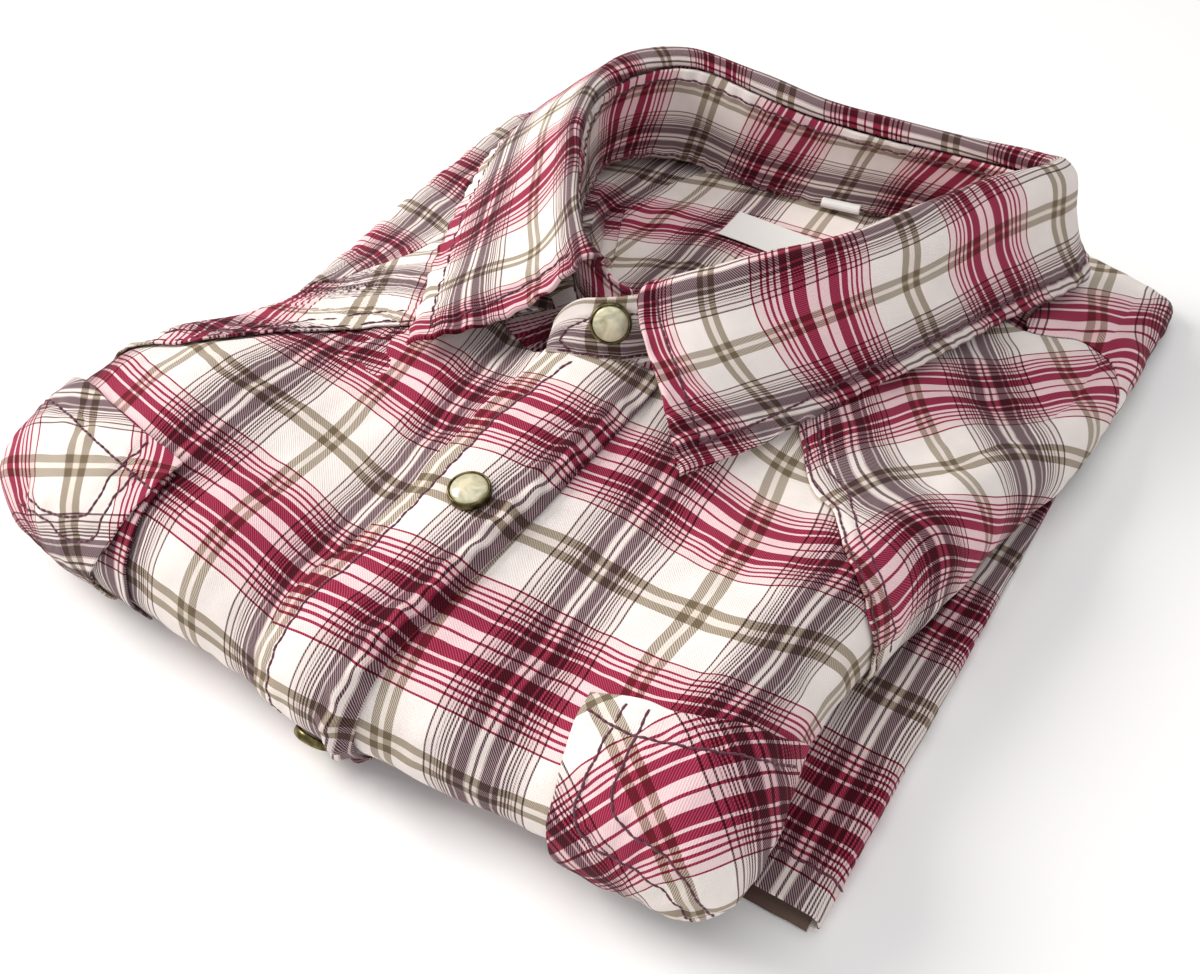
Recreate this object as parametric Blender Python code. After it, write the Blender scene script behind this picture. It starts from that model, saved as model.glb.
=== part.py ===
"""A men's western snap shirt, folded for the shelf and lying front up.

Every panel is a closed sheet of cloth laid on one draped skin. The skin is a mound of cloth over
the shirt's plan, rolled under at the front, back and sides, so a point (u, v) of the cloth has one
place on it. Sizes below are in millimetres: X runs to the wearer's left, Y runs from the bottom
fold to the collar, and the model is centred at the end on the middle of its base.
"""

import math

import bmesh
import bpy
import numpy as np
from mathutils import Vector

MM = 0.001

# ---- Cloth and gaps ----
WALL = 1.0  # one ply with its turnings
COLLAR_WALL = 1.8  # collar cloth with its interlining
PLY_LIFT = 1.45  # from one layer's underside to the next one's
CORE_DROP = 1.3  # the hidden layers lie this far under the outer ply
SEAM_GAP = 0.4

# ---- The mound: height of the outer ply over the plan, one row per y ----
MOUND_X = (-150, -125, -100, -75, -50, -25, 0, 25, 50, 75, 100, 125)
MOUND_Z = {
    -60: (43, 46, 49, 48, 45, 45, 46, 43, 43, 49, 50, 48),
    -40: (44, 48, 50, 49, 46, 46, 47, 44, 44, 49, 50, 48),
    0: (44, 50, 54, 50, 44, 49, 53, 50, 48, 49, 54, 52),
    40: (29, 37, 44, 47, 49, 54, 57, 54, 50, 48, 46, 44),
    80: (20, 27, 36, 45, 53, 57, 59, 57, 54, 49, 43, 37),
    130: (14, 19, 28, 42, 50, 52, 54, 52, 50, 43, 35, 27),
    180: (13, 18, 26, 40, 39, 35, 34, 34, 35, 38, 29, 20),
    215: (11, 15, 22, 32, 34, 33, 32, 32, 32, 30, 23, 15),
    250: (7, 9, 12, 17, 22, 24, 24, 24, 23, 20, 15, 9),
    265: (6, 7, 9, 12, 16, 18, 18, 18, 17, 15, 11, 7),
}
# Soft ridges and troughs on it: x0, y0, x1, y1, width, height
MOUND_FOLDS = (
    (22, 40, 60, -60, 16, -3.0),
    (-30, 60, -34, -60, 12, -4.0),
    (-100, 20, -60, -30, 18, 1.5),
    (98, -55, 102, 10, 16, 1.5),
)

# ---- Outline in plan, and the radius of the roll at each edge ----
EDGE_LEFT = {-60: -142, -40: -145.5, 0: -144.5, 25: -138, 45: -128, 62: -125, 89: -133.5,
             120: -139.5, 180: -143, 240: -146, 265: -143}
EDGE_RIGHT = {-60: 113, -40: 112, -2: 107, 36: 112, 70: 119, 111: 126, 150: 133, 180: 135,
              249: 137, 265: 137}
EDGE_FRONT = {-150: -50, -125: -54, -100: -58, -60: -61, -30: -63, -5: -66, 20: -64, 55: -61.5,
              80: -62, 110: -60, 125: -58}
EDGE_BACK = {-150: 247, -100: 252, 0: 258, 80: 260, 110: 260, 137: 254}
ROLL_RIGHT = {-60: 22, -40: 22, 0: 23, 40: 20, 80: 17, 130: 12, 180: 7, 250: 5}
ROLL_LEFT = {-60: 21, -40: 21, 0: 22, 40: 19, 70: 13, 100: 9, 250: 4}
ROLL_FRONT = {-150: 21, -100: 23, 0: 24, 100: 24, 125: 22}
ROLL_BACK = {-150: 5, 0: 9, 137: 5}
CORNER = 7.0
SQUARENESS = 4.0
ROLL_FOOT = 3.0  # height at which a full half turn would end

# ---- Placket, along v ----
PLACKET_AXIS = {-110: -12.5, -67: -9.5, -20: -2.5, 0: 0, 30: 2, 62: 5.5}
PLACKET_LEFT, PLACKET_RIGHT = 18.5, 17.5
PLACKET_TOP = 66.0
PLACKET_RIDGE = (11.5, 5.0, 2.2)  # puckered ridge beside the right edge: off the axis, width, height

# ---- Seams and edges on the cloth: u against v, or v against u ----
YOKE_SEAM_RIGHT = {15: 95, 32: 88, 48: 80, 64.3: 71.7, 78.5: 53.8, 84: 51.8, 96.3: 36,
                   107.3: 28.7, 121: 26.4, 145: 25}
YOKE_SEAM_LEFT = {-150: -4, -125: 4, -110: 16, -98.8: 30.1, -82.6: 43.7, -65: 55.1,
                  -50: 61.5, -30: 74, -15: 80}
ARM_SEAM_RIGHT = {90: 175, 101: 178, 120: 194.6, 128.3: 192.3, 132: 185.7, 140: 177, 150: 174}
ARM_SEAM_LEFT = {42: -165, 50: -148, 58: -132, 68: -121, 79: -115, 86: -110, 96: -103.5, 109: -100,
                 140: -98, 205: -97}
NECK_CLEAR_RIGHT = {60: 17, 66: 19, 82: 33, 105: 48, 131: 65, 168: 80, 205: 96}
NECK_CLEAR_LEFT = {60: -18, 75: -18, 85: -27, 130: -54, 168: -71, 200: -70}
FLAP_RIGHT_TOP = {60: -35.6, 75.8: -34.3, 82.9: -35, 91.2: -32, 95: -29.6, 104: -24, 113: -16,
                  150: -10}
FLAP_LEFT_TOP = {-165: -8, -132: -17.9, -113: -23.9, -98: -28, -84.7: -30, -76: -31.5}

# ---- Neck ----
NECK_CENTRE = (5.0, 135.0)
NECK_FLOOR = {60: 27, 100: 27.5, 150: 29.5, 185: 31, 215: 32.5}
# Stand stations, from its hidden end round the back to its shown end: x, y, lean x, lean y, top z
STAND = (
    (9, 75, 0, 8, 73), (0, 71, 0, 9, 74.5), (-10, 75.5, -1, 8, 77.5), (-21, 87, -1, 4, 80),
    (-47, 130, 0, 0, 77), (-63, 168, 0, 0, 74.5), (-59, 191, 1, 1, 75), (-43, 202, 0, 1, 76.5),
    (-18, 204, 0, 0, 73.5), (5, 206, 0, 0, 69.5), (30, 210, 0, 0, 67), (60, 216, 0, 0, 65),
    (81, 217, 1, 1, 65), (86, 207, 0, 0, 71), (72, 168, 0, 0, 79), (57, 131, 0, 0, 82),
    (40, 105, 0, 2, 82), (25, 83, 0, 6, 81), (12, 66, 0, 9, 79.5), (0, 59.5, 0, 9.5, 77),
    (-13, 57, 0, 9, 74),
)
STAND_END = 9.0  # length over which each front end rounds down
# Fall stations: stand station, rim x y z, half way x y z, leaf edge x y z
FALL = (
    (1.6, -8, 74, 84, -27, 58, 66, -53, 40, 57),
    (3.0, -21, 88, 85.5, -40, 70, 71, -61, 56, 55),
    (4.0, -49, 132, 82.5, -71, 126, 67, -91, 118, 45.5),
    (5.0, -66, 170, 79.5, -89, 170, 61, -111, 171, 37),
    (6.0, -63, 194, 80.5, -88, 203, 58, -115, 212, 33),
    (7.0, -45, 205, 82, -64, 221, 59, -88, 233, 31),
    (8.0, -19, 206, 79, -26, 224, 57, -38, 240, 32),
    (9.0, 3, 208, 75, 2, 224, 55, 1, 241, 31),
    (10.0, 28, 212, 72.6, 32, 228, 53, 36, 242, 31),
    (11.0, 58, 218, 70.5, 63, 232, 51, 70, 242, 30),
    (12.0, 82, 220, 70.5, 90, 229, 51, 99, 236, 29),
    (13.0, 89, 210, 76, 99, 215, 54, 109, 221, 28.6),
    (14.0, 74, 169, 84.5, 87, 172, 62, 98, 180, 37.5),
    (15.0, 59, 131, 88, 75, 131, 68.5, 87, 137, 46),
    (16.0, 42, 104, 88, 61, 102, 71, 76, 103, 52),
    (17.0, 27, 82, 87.5, 45, 70, 72, 62, 64, 55),
    (17.9, 12, 68, 84.5, 31, 48.5, 70, 46.8, 32.7, 58),
)

# ---- Sleeve strip folded back beside the body: y against outer x, y against its upper ply ----
SLEEVE_FOLD = {-41: 129, 60: 130, 152: 131}
SLEEVE_FOLD_HIGH = {-41: 8.0, 0: 7.5, 70: 6.0, 110: 4.0, 152: 2.6}
HEM_MOUTH = -40.5
# ---- What the hidden layers stand on: x left, x right, y front, y back ----
FOOT = (-127, 83, -50, 243)

# ---- Size tab: where its loop leaves the neck seam, the seam's way in plan, and the ribbon ----
TAB_SEAT = (12.6, 206.0, 35.5)
TAB_WAY = (0.9875, 0.157)
TAB_WIDE = 14.4
TAB_LOOP = ((0.8, 2.7), (2.2, 3.3), (3.6, 3.0), (4.3, 1.9), (3.7, 0.8), (2.3, 0.5), (0.9, 0.6))

# ---- Snaps: the pearl cap in its ring ----
RING_RADIUS, RING_HIGH = 6.3, 2.6
CAP_RADIUS, CAP_RISE = 4.9, 1.5


# ---------------------------------------------------------------- tables
def hermite(xs, ys, x):
    """Smooth curve through a table; ys may hold one column per query."""
    xs, ys = np.asarray(xs, float), np.asarray(ys, float)
    x = np.clip(x, xs[0], xs[-1])
    i = np.clip(np.searchsorted(xs, x, side="right") - 1, 0, len(xs) - 2)
    step = np.diff(xs)
    if ys.ndim == 1:
        ys = np.repeat(ys[:, None], len(x), axis=1)
    slope = (ys[1:] - ys[:-1]) / step[:, None]
    share = (step[:-1] / (step[:-1] + step[1:]))[:, None]
    tangent = np.concatenate(
        [slope[:1], slope[:-1] * (1 - share) + slope[1:] * share, slope[-1:]]
    )
    column = np.arange(len(x))
    wide = xs[i + 1] - xs[i]
    t = (x - xs[i]) / wide
    return (
        (2 * t**3 - 3 * t**2 + 1) * ys[i, column]
        + (t**3 - 2 * t**2 + t) * wide * tangent[i, column]
        + (3 * t**2 - 2 * t**3) * ys[i + 1, column]
        + (t**3 - t**2) * wide * tangent[i + 1, column]
    )


def table(entries, x):
    return hermite(list(entries), list(entries.values()), np.asarray(x, float).ravel())


# ---------------------------------------------------------------- the draped skin
def mound(x, y, troughs_only=False):
    """Height of the outer ply. With troughs_only it takes no ridge and widens each trough."""
    z = hermite(list(MOUND_Z), [hermite(MOUND_X, row, x) for row in MOUND_Z.values()], y)
    for x0, y0, x1, y1, width, height in MOUND_FOLDS:
        if troughs_only:
            if height > 0:
                continue
            width *= 1.5
        along = np.clip(
            ((x - x0) * (x1 - x0) + (y - y0) * (y1 - y0)) / ((x1 - x0) ** 2 + (y1 - y0) ** 2), 0, 1
        )
        away = np.hypot(x - x0 - along * (x1 - x0), y - y0 - along * (y1 - y0))
        z = z + height * np.exp(-((away / width) ** 2))
    return z


def roll_frame(u, v):
    """For each cloth point: where its roll starts, its way out, its radius and how far it has
    rolled."""
    u, v = np.asarray(u, float).ravel(), np.asarray(v, float).ravel()
    at_u, at_v = np.clip(u, -150, 137), np.clip(v, -60, 265)
    for _ in range(3):
        left, right = table(ROLL_LEFT, at_v), table(ROLL_RIGHT, at_v)
        front, back = table(ROLL_FRONT, at_u), table(ROLL_BACK, at_u)
        x0, x1 = table(EDGE_LEFT, at_v) + left, table(EDGE_RIGHT, at_v) - right
        y0, y1 = table(EDGE_FRONT, at_u) + front, table(EDGE_BACK, at_u) - back
        at_u, at_v = np.clip(u, x0, x1), np.clip(v, y0, y1)
    centre_u = np.clip(u, x0 + CORNER, x1 - CORNER)
    centre_v = np.clip(v, y0 + CORNER, y1 - CORNER)
    off_u, off_v = u - centre_u, v - centre_v
    off = np.hypot(off_u, off_v)
    way_u = np.where(off > 1e-9, off_u / np.maximum(off, 1e-9), 0)
    way_v = np.where(off > 1e-9, off_v / np.maximum(off, 1e-9), 0)
    wide = np.where(off_u < 0, left, right)
    deep = np.where(off_v < 0, front, back)
    radius = (
        np.abs(way_u / wide) ** SQUARENESS + np.abs(way_v / deep) ** SQUARENESS + 1e-12
    ) ** (-1 / SQUARENESS)
    past = np.maximum(off - CORNER, 0)
    turned = np.where(past > 0, past / radius, 0)
    base_x = centre_u + way_u * np.minimum(off, CORNER)
    base_y = centre_v + way_v * np.minimum(off, CORNER)
    return base_x, base_y, way_u, way_v, radius, turned


def skin(u, v, troughs_only=False):
    base_x, base_y, way_u, way_v, radius, turned = roll_frame(u, v)
    turned = np.minimum(turned, math.pi * 0.97)
    high = mound(base_x, base_y, troughs_only)
    half = np.maximum((high - ROLL_FOOT) / 2, 1.0)
    out = np.where(turned > 0, radius * np.sin(turned), 0)
    return np.stack(
        [base_x + way_u * out, base_y + way_v * out, high - half * (1 - np.cos(turned))], -1
    )


def drape(u, v, lift=0.0, troughs_only=False):
    """Points of the cloth, moved out along the skin's own normal by lift."""
    u, v = np.asarray(u, float).ravel(), np.asarray(v, float).ravel()
    e = 0.4
    across = skin(u + e, v, troughs_only) - skin(u - e, v, troughs_only)
    along = skin(u, v + e, troughs_only) - skin(u, v - e, troughs_only)
    normal = np.cross(across, along)
    normal /= np.maximum(np.linalg.norm(normal, axis=1), 1e-9)[:, None]
    return skin(u, v, troughs_only) + normal * np.broadcast_to(lift, u.shape)[:, None]


# ---------------------------------------------------------------- objects
def material(name, colour, roughness=0.85, metallic=0.0):
    """A Principled BSDF in the part's own colour."""
    made = bpy.data.materials.new(name)
    made.use_nodes = True
    shader = made.node_tree.nodes["Principled BSDF"]
    shader.inputs["Base Color"].default_value = (*colour, 1)
    shader.inputs["Roughness"].default_value = roughness
    shader.inputs["Metallic"].default_value = metallic
    return made


def finish(name, bm, paint, smooth=True):
    """Turns a bmesh in millimetres into a named object in metres."""
    bmesh.ops.recalc_face_normals(bm, faces=bm.faces)
    if bm.calc_volume(signed=True) < 0:
        bmesh.ops.reverse_faces(bm, faces=bm.faces)
    bmesh.ops.scale(bm, vec=(MM, MM, MM), verts=bm.verts)
    mesh = bpy.data.meshes.new(name)
    bm.to_mesh(mesh)
    bm.free()
    mesh.materials.append(paint)
    if smooth:
        mesh.shade_smooth()
        mesh.set_sharp_from_angle(angle=math.radians(50))
    made = bpy.data.objects.new(name, mesh)
    bpy.context.scene.collection.objects.link(made)
    return made


def sheet(name, cols, rows, place, wall, paint):
    """A closed sheet of cloth: a grid whose point (p, q), each 0 to 1, goes to
    place(p, q, lift), extruded by wall."""
    bm = bmesh.new()
    bmesh.ops.create_grid(bm, x_segments=cols, y_segments=rows, size=0.5)
    key = bm.verts.layers.int.new("key")
    for i, vert in enumerate(bm.verts):
        vert[key] = i
    p = np.array([vert.co.x + 0.5 for vert in bm.verts])
    q = np.array([vert.co.y + 0.5 for vert in bm.verts])
    under, over = place(p, q, 0.0), place(p, q, wall)
    raised = bmesh.ops.extrude_face_region(bm, geom=bm.faces[:], use_keep_orig=True)
    twins = {item for item in raised["geom"] if isinstance(item, bmesh.types.BMVert)}
    for vert in bm.verts:
        vert.co = Vector(over[vert[key]] if vert in twins else under[vert[key]])
    return finish(name, bm, paint)


def between(p, low, high):
    return low + (high - low) * p


def graded(t, turns):
    """Grid lines drawn closer together in places: turns holds (share of the lines, share of the
    way) pairs."""
    return np.interp(t, (0, *turns[::2], 1), (0, *turns[1::2], 1))


def on_skin(u_low, u_high, v_low, v_high, lift, grade_p=(0.5, 0.5), grade_q=(0.5, 0.5)):
    """A place function for a panel of the skin. Its sides are functions of v, its ends functions
    of u, and lift is its underside's. The grades draw its grid closer on the rolls."""

    def place(p, q, out):
        p, q = graded(p, grade_p), graded(q, grade_q)
        v = between(q, np.full_like(p, -60.0), np.full_like(p, 200.0))
        u = p * 0
        for _ in range(4):
            u = between(p, u_low(v), u_high(v))
            v = between(q, v_low(u), v_high(u))
        lifted = lift(u, v) if callable(lift) else lift
        return drape(u, v, lifted + out)

    return place


def flat(value):
    return lambda at: np.full(np.shape(at), float(value))


def of_table(entries, shift=0.0):
    return lambda at: table(entries, at) + shift


def roll_end(side, turned):
    """Cloth coordinate at which an edge's roll has turned this far, in degrees."""
    edge, roll, sign = {
        "left": (EDGE_LEFT, ROLL_LEFT, -1), "right": (EDGE_RIGHT, ROLL_RIGHT, 1),
        "front": (EDGE_FRONT, ROLL_FRONT, -1), "back": (EDGE_BACK, ROLL_BACK, 1),
    }[side]

    def at(other):
        radius = table(roll, other)
        start = table(edge, other) - sign * radius
        return start + sign * radius * math.radians(turned)

    return at


def placket_lift(u, v):
    """The placket's underside: over the fronts, with a puckered ridge beside its right edge."""
    off, width, height = PLACKET_RIDGE
    fade = np.clip((58 - v) / 12, 0, 1)
    return PLY_LIFT + 0.25 + height * fade * np.exp(
        -(((u - table(PLACKET_AXIS, v) - off) / width) ** 2)
    )


# ---------------------------------------------------------------- hidden layers
def neck_loop():
    """The stand's plan as a closed loop: its stations without the overlapped ends."""
    return [(x, y) for x, y, *_ in STAND[2:19]]


def ray_to_loop(loop, way):
    """Distance from the neck's centre to a closed loop along a direction."""
    cx, cy = NECK_CENTRE
    best = None
    for (ax, ay), (bx, by) in zip(loop, loop[1:] + loop[:1]):
        ex, ey = bx - ax, by - ay
        cross = way[0] * ey - way[1] * ex
        if abs(cross) < 1e-9:
            continue
        far = ((ax - cx) * ey - (ay - cy) * ex) / cross
        part = ((ax - cx) * way[1] - (ay - cy) * way[0]) / cross
        if far > 0 and -1e-6 <= part <= 1 + 1e-6:
            best = far if best is None else max(best, far)
    return best


def ray_to_turn(ways, degrees):
    """Distance from the neck's centre to where the skin has turned this far, along each way."""
    low, high = np.full(len(ways), 20.0), np.full(len(ways), 420.0)
    for _ in range(30):
        middle = (low + high) / 2
        turned = roll_frame(
            NECK_CENTRE[0] + ways[:, 0] * middle, NECK_CENTRE[1] + ways[:, 1] * middle
        )[5]
        short = turned < math.radians(degrees)
        low, high = np.where(short, middle, low), np.where(short, high, middle)
    return low


def foot_distance(way):
    """Distance from the neck's centre to the rounded foot outline."""
    left, right, front, back = FOOT
    cx, cy = NECK_CENTRE
    wide = (right - cx) if way[0] > 0 else (cx - left)
    deep = (back - cy) if way[1] > 0 else (cy - front)
    return (abs(way[0] / wide) ** 12 + abs(way[1] / deep) ** 12) ** (-1 / 12)


def hidden_layers(paint):
    """Back, tails and folded sides as one rounded solid, stepped at its edges like a stack of
    folded plies, with the neck's hollow sunk in its top. It is bridged from rings round the neck."""
    left, right, front, back = (-154, 114, -66, 262)
    corners = [(right, front), (right, back), (left, back), (left, front)]
    ways = []
    for (ax, ay), (bx, by), count in zip(
        corners, corners[1:] + corners[:1], (17, 13, 17, 16)
    ):
        for k in range(count):
            # Closer together where the left side is drawn in at the waist.
            t = graded(k / count, (0.42, 0.5, 0.76, 0.74)) if ax == bx == left else k / count
            x, y = ax + (bx - ax) * t - NECK_CENTRE[0], ay + (by - ay) * t - NECK_CENTRE[1]
            ways.append((x / math.hypot(x, y), y / math.hypot(x, y)))
    loop = neck_loop()
    near = np.array([ray_to_loop(loop, way) for way in ways]) - 4.0
    way = np.array(ways)
    start = ray_to_turn(way, 0.5)

    def cloth(far):
        # It lies deeper where the left side is drawn in at the waist.
        u, v = NECK_CENTRE[0] + way[:, 0] * far, NECK_CENTRE[1] + way[:, 1] * far
        waist = 1.2 * np.exp(-(((v - 58) / 22) ** 2)) * np.clip((-95 - u) / 12, 0, 1)
        return drape(u, v, -CORE_DROP - waist, True)

    def floor(far):
        x, y = NECK_CENTRE[0] + way[:, 0] * far, NECK_CENTRE[1] + way[:, 1] * far
        return np.stack([x, y, table(NECK_FLOOR, y)], -1)

    mouth = cloth(near)
    well = floor(near - 3.0)
    well[:, 2] = np.minimum(well[:, 2], mouth[:, 2] - 0.3)
    inner = floor(near * 0.55)
    rings = [inner, well, mouth]
    for part in (0.13, 0.28, 0.44, 0.6, 0.76, 0.9):
        rings.append(cloth(between(part, near, start)))
    rings.append(cloth(start))
    for degrees in (28, 52, 76, 98, 120):
        rings.append(cloth(ray_to_turn(way, degrees)))
    under = rings[-1][:, 2] - 0.6
    # The foot lies in line with the last ring, and inside it where the side is drawn in.
    spread = rings[-1][:, :2] - np.array(NECK_CENTRE)
    last = np.linalg.norm(spread, axis=1)
    way = spread / last[:, None]
    foot = np.minimum(np.array([foot_distance(w) for w in way]), last - 3.5)
    for out, part in ((0.5, 1.0), (2.0, 0.78), (0.2, 0.55), (2.0, 0.3), (0.4, 0.0)):
        rings.append(
            np.stack(
                [
                    NECK_CENTRE[0] + way[:, 0] * (foot + out),
                    NECK_CENTRE[1] + way[:, 1] * (foot + out),
                    under * part,
                ],
                -1,
            )
        )
    bm = bmesh.new()
    edges = []
    for ring in rings:
        verts = [bm.verts.new(point) for point in ring]
        edges.append([bm.edges.new((a, b)) for a, b in zip(verts, verts[1:] + verts[:1])])
    for low, high in zip(edges, edges[1:]):
        bmesh.ops.bridge_loops(bm, edges=low + high)
    bm.faces.new([edge.verts[0] for edge in edges[-1]])
    bmesh.ops.contextual_create(bm, geom=edges[0])
    bmesh.ops.triangulate(bm, faces=[f for f in bm.faces if len(f.verts) > 4])
    return finish("hidden_layers", bm, paint)


# ---------------------------------------------------------------- collar
def station(rows, at, columns):
    """Columns of a station table read smoothly at fractional stations."""
    keys = np.arange(len(rows), dtype=float)
    return [hermite(keys, [row[c] for row in rows], at) for c in columns]


def stand_line(at):
    """Foot and head of the stand at fractional stations."""
    x, y, lean_x, lean_y, top = station(STAND, at, range(5))
    low = mound(x, y) + PLY_LIFT + WALL + 0.9
    # The plies beside the wall also stay under it where the mound slopes.
    for dx, dy in ((3, 0), (-3, 0), (0, 3), (0, -3)):
        low = np.maximum(low, mound(x + dx * 0.6, y + dy * 0.6) + PLY_LIFT + WALL + 0.35)
    foot = np.stack([x, y, low], -1)
    head = np.stack([x + lean_x, y + lean_y, top], -1)
    return foot, head


def stand_place(p, q, out):
    """The stand's wall. p runs along its stations and q from its foot to its head."""
    at = p * (len(STAND) - 1)
    foot, head = stand_line(at)
    ahead, behind = stand_line(np.minimum(at + 0.05, len(STAND) - 1)), stand_line(
        np.maximum(at - 0.05, 0)
    )
    travel = ahead[0] - behind[0]
    length = np.maximum(np.linalg.norm(travel, axis=1), 1e-9)[:, None]
    rise = head - foot
    normal = np.cross(rise / np.linalg.norm(rise, axis=1)[:, None], travel / length)
    normal /= np.linalg.norm(normal, axis=1)[:, None]
    # Round both front ends down.
    spots = np.linspace(0, len(STAND) - 1, 200)
    path = stand_line(spots)[0]
    run = np.concatenate([[0], np.cumsum(np.linalg.norm(np.diff(path, axis=0), axis=1))])
    gone = np.interp(at, spots, run)
    end = np.minimum(gone, run[-1] - gone)
    near = np.clip(1 - end / STAND_END, 0, 1)
    full = 1 - 0.55 * (1 - np.sqrt(np.maximum(1 - near**2, 0)))
    point = foot + rise * (q * full)[:, None]
    return point + normal * (out - COLLAR_WALL / 2)


def fall_curve(at, q):
    """The fall's middle surface: up from the stand's head, over the rim and down to the leaf's
    edge."""
    rim_x, rim_y, rim_z, mid_x, mid_y, mid_z, tip_x, tip_y, tip_z = station(FALL, at, range(1, 10))
    on_stand = station(FALL, at, [0])[0]
    foot, head = stand_line(on_stand)
    rim = np.stack([rim_x, rim_y, rim_z], -1)
    mid = np.stack([mid_x, mid_y, mid_z], -1)
    tip = np.stack([tip_x, tip_y, tip_z], -1)
    out = mid - head
    out[:, 2] = 0
    out /= np.linalg.norm(out, axis=1)[:, None]
    up = np.array([0, 0, 1.0])
    rise = head - foot
    base = head + rise / np.linalg.norm(rise, axis=1)[:, None] * (SEAM_GAP + 0.5)
    crest = rim + out * 1.5
    knots = (0.0, 0.07, 0.15, 0.24, 0.58, 1.0)
    points = (
        base,
        base + (rim - base) * np.array([0.45, 0.45, 0.72]) - out * 0.4,
        crest,
        crest + out * 4.2 - up * 3.6,
        mid,
        tip,
    )
    found = [hermite(knots, np.array([pt[:, c] for pt in points]), q) for c in range(3)]
    point = np.stack(found, -1)
    # The leaf lies on the cloth below it.
    lie = mound(point[:, 0], point[:, 1]) + PLY_LIFT + WALL + COLLAR_WALL / 2 + 1.2
    leaf = np.clip((q - 0.3) / 0.2, 0, 1)
    point[:, 2] = np.maximum(point[:, 2], np.where(leaf > 0, lie * leaf + point[:, 2] * (1 - leaf), -1))
    return point


def fall_place(p, q, out):
    at = p * (len(FALL) - 1)
    e = 0.02
    along = fall_curve(np.minimum(at + e, len(FALL) - 1), q) - fall_curve(np.maximum(at - e, 0), q)
    across = fall_curve(at, np.minimum(q + 0.01, 1)) - fall_curve(at, np.maximum(q - 0.01, 0))
    normal = np.cross(across, along)
    normal /= np.maximum(np.linalg.norm(normal, axis=1), 1e-9)[:, None]
    return fall_curve(at, q) - normal * (out - COLLAR_WALL / 2)


# ---------------------------------------------------------------- sleeves
def sleeve_strip(name, edge, high, inner, mouth, end, paint):
    """A stretch of short sleeve folded flat beside the body: two plies meeting in a fold at the
    outer edge, open at the hem. high is the upper ply's height along y."""
    sign = 1 if inner < table(edge, [mouth])[0] else -1
    # From the upper ply's inner end round the fold to the lower ply's: share of the width, or
    # the angle round the fold
    upper, fold, lower = (1.0, 0.6, 0.25, 0.08), (60, 20, -20, -60), (0.08, 0.5, 1.0)
    keys = np.linspace(0, 1, len(upper) + len(fold) + len(lower))

    def place(p, q, out):
        y = between(q, mouth, end)
        outer, top = table(edge, y), table(high, y)
        low = WALL / 2 + 0.4
        half = (top - low) / 2
        start = outer - sign * half
        xs, zs, nx, nz = [], [], [], []
        for share in upper:
            xs.append(start - sign * share * (np.abs(outer - inner) - half))
            zs.append(top + 1.2 * share * (top > 5))
            nx.append(0.0)
            nz.append(1.0)
        for degrees in fold:
            a = math.radians(degrees)
            xs.append(start + sign * half * math.cos(a))
            zs.append(low + half + half * math.sin(a))
            nx.append(sign * math.cos(a))
            nz.append(math.sin(a))
        for share in lower:
            xs.append(start - sign * share * (np.abs(outer - inner) - half))
            zs.append(low + 0 * y)
            nx.append(0.0)
            nz.append(-1.0)
        x, z = hermite(keys, np.array(xs), p), hermite(keys, np.array(zs), p)
        normal = np.stack([hermite(keys, nx, p), p * 0, hermite(keys, nz, p)], -1)
        normal /= np.linalg.norm(normal, axis=1)[:, None]
        return np.stack([x, y, z], -1) + normal * (out - WALL / 2)

    return sheet(name, len(keys) - 1, 6, place, WALL, paint)


# ---------------------------------------------------------------- snaps
def turned(name, profile, sides, paint, seat):
    """A piece turned about its own axis from (radius, height) pairs, first and last on the axis or
    closed on themselves, then set at a seat (point, direction)."""
    bm = bmesh.new()
    verts = [bm.verts.new((r, 0, z)) for r, z in profile]
    pairs = list(zip(verts, verts[1:]))
    if profile[0][0] > 0:
        pairs.append((verts[-1], verts[0]))
    edges = [bm.edges.new(pair) for pair in pairs]
    bmesh.ops.spin(
        bm, geom=verts + edges, cent=(0, 0, 0), axis=(0, 0, 1), angle=2 * math.pi, steps=sides,
        use_merge=True,
    )
    bmesh.ops.remove_doubles(bm, verts=bm.verts, dist=0.001)
    made = finish(name, bm, paint)
    point, direction = seat
    made.rotation_mode = "QUATERNION"
    made.rotation_quaternion = Vector(direction).to_track_quat("Z", "Y")
    made.location = Vector(point) * MM
    return made


RING_PROFILE = ((5.1, 0.0), (RING_RADIUS - 0.3, 0.0), (RING_RADIUS, 0.7), (RING_RADIUS - 0.2, 1.9),
                (RING_RADIUS - 0.8, RING_HIGH), (5.25, 2.3))
CAP_PROFILE = ((0.0, 0.1), (CAP_RADIUS - 0.3, 0.1), (CAP_RADIUS, 0.5), (CAP_RADIUS, 2.0),
               (3.2, 2.2 + CAP_RISE * 0.7), (0.0, 2.2 + CAP_RISE))


def snap(name, place, at, spread, out, brass, pearl):
    """Ring and cap seated on a sheet at (p, q), clear of it by the seam gap at its highest point
    under the ring. spread is how far p and q reach across the ring."""
    p, q = at
    spot = np.array([p]), np.array([q])
    centre = place(*spot, out)[0]
    normal = place(*spot, out + 1.0)[0] - centre
    normal /= np.linalg.norm(normal)
    reach = np.linspace(-1, 1, 15)
    grid_p, grid_q = np.meshgrid(reach * spread[0] + p, reach * spread[1] + q)
    around = place(grid_p.ravel(), grid_q.ravel(), out) - centre
    high = around @ normal
    wide = np.linalg.norm(around - high[:, None] * normal, axis=1)
    under = (wide < RING_RADIUS + 1.0) & (np.abs(high) < 6)
    seat = centre + normal * (high[under].max() + SEAM_GAP if under.any() else SEAM_GAP)
    turned(name + "_ring", RING_PROFILE, 16, brass, (seat, normal))
    turned(name + "_cap", CAP_PROFILE, 16, pearl, (seat, normal))


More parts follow.
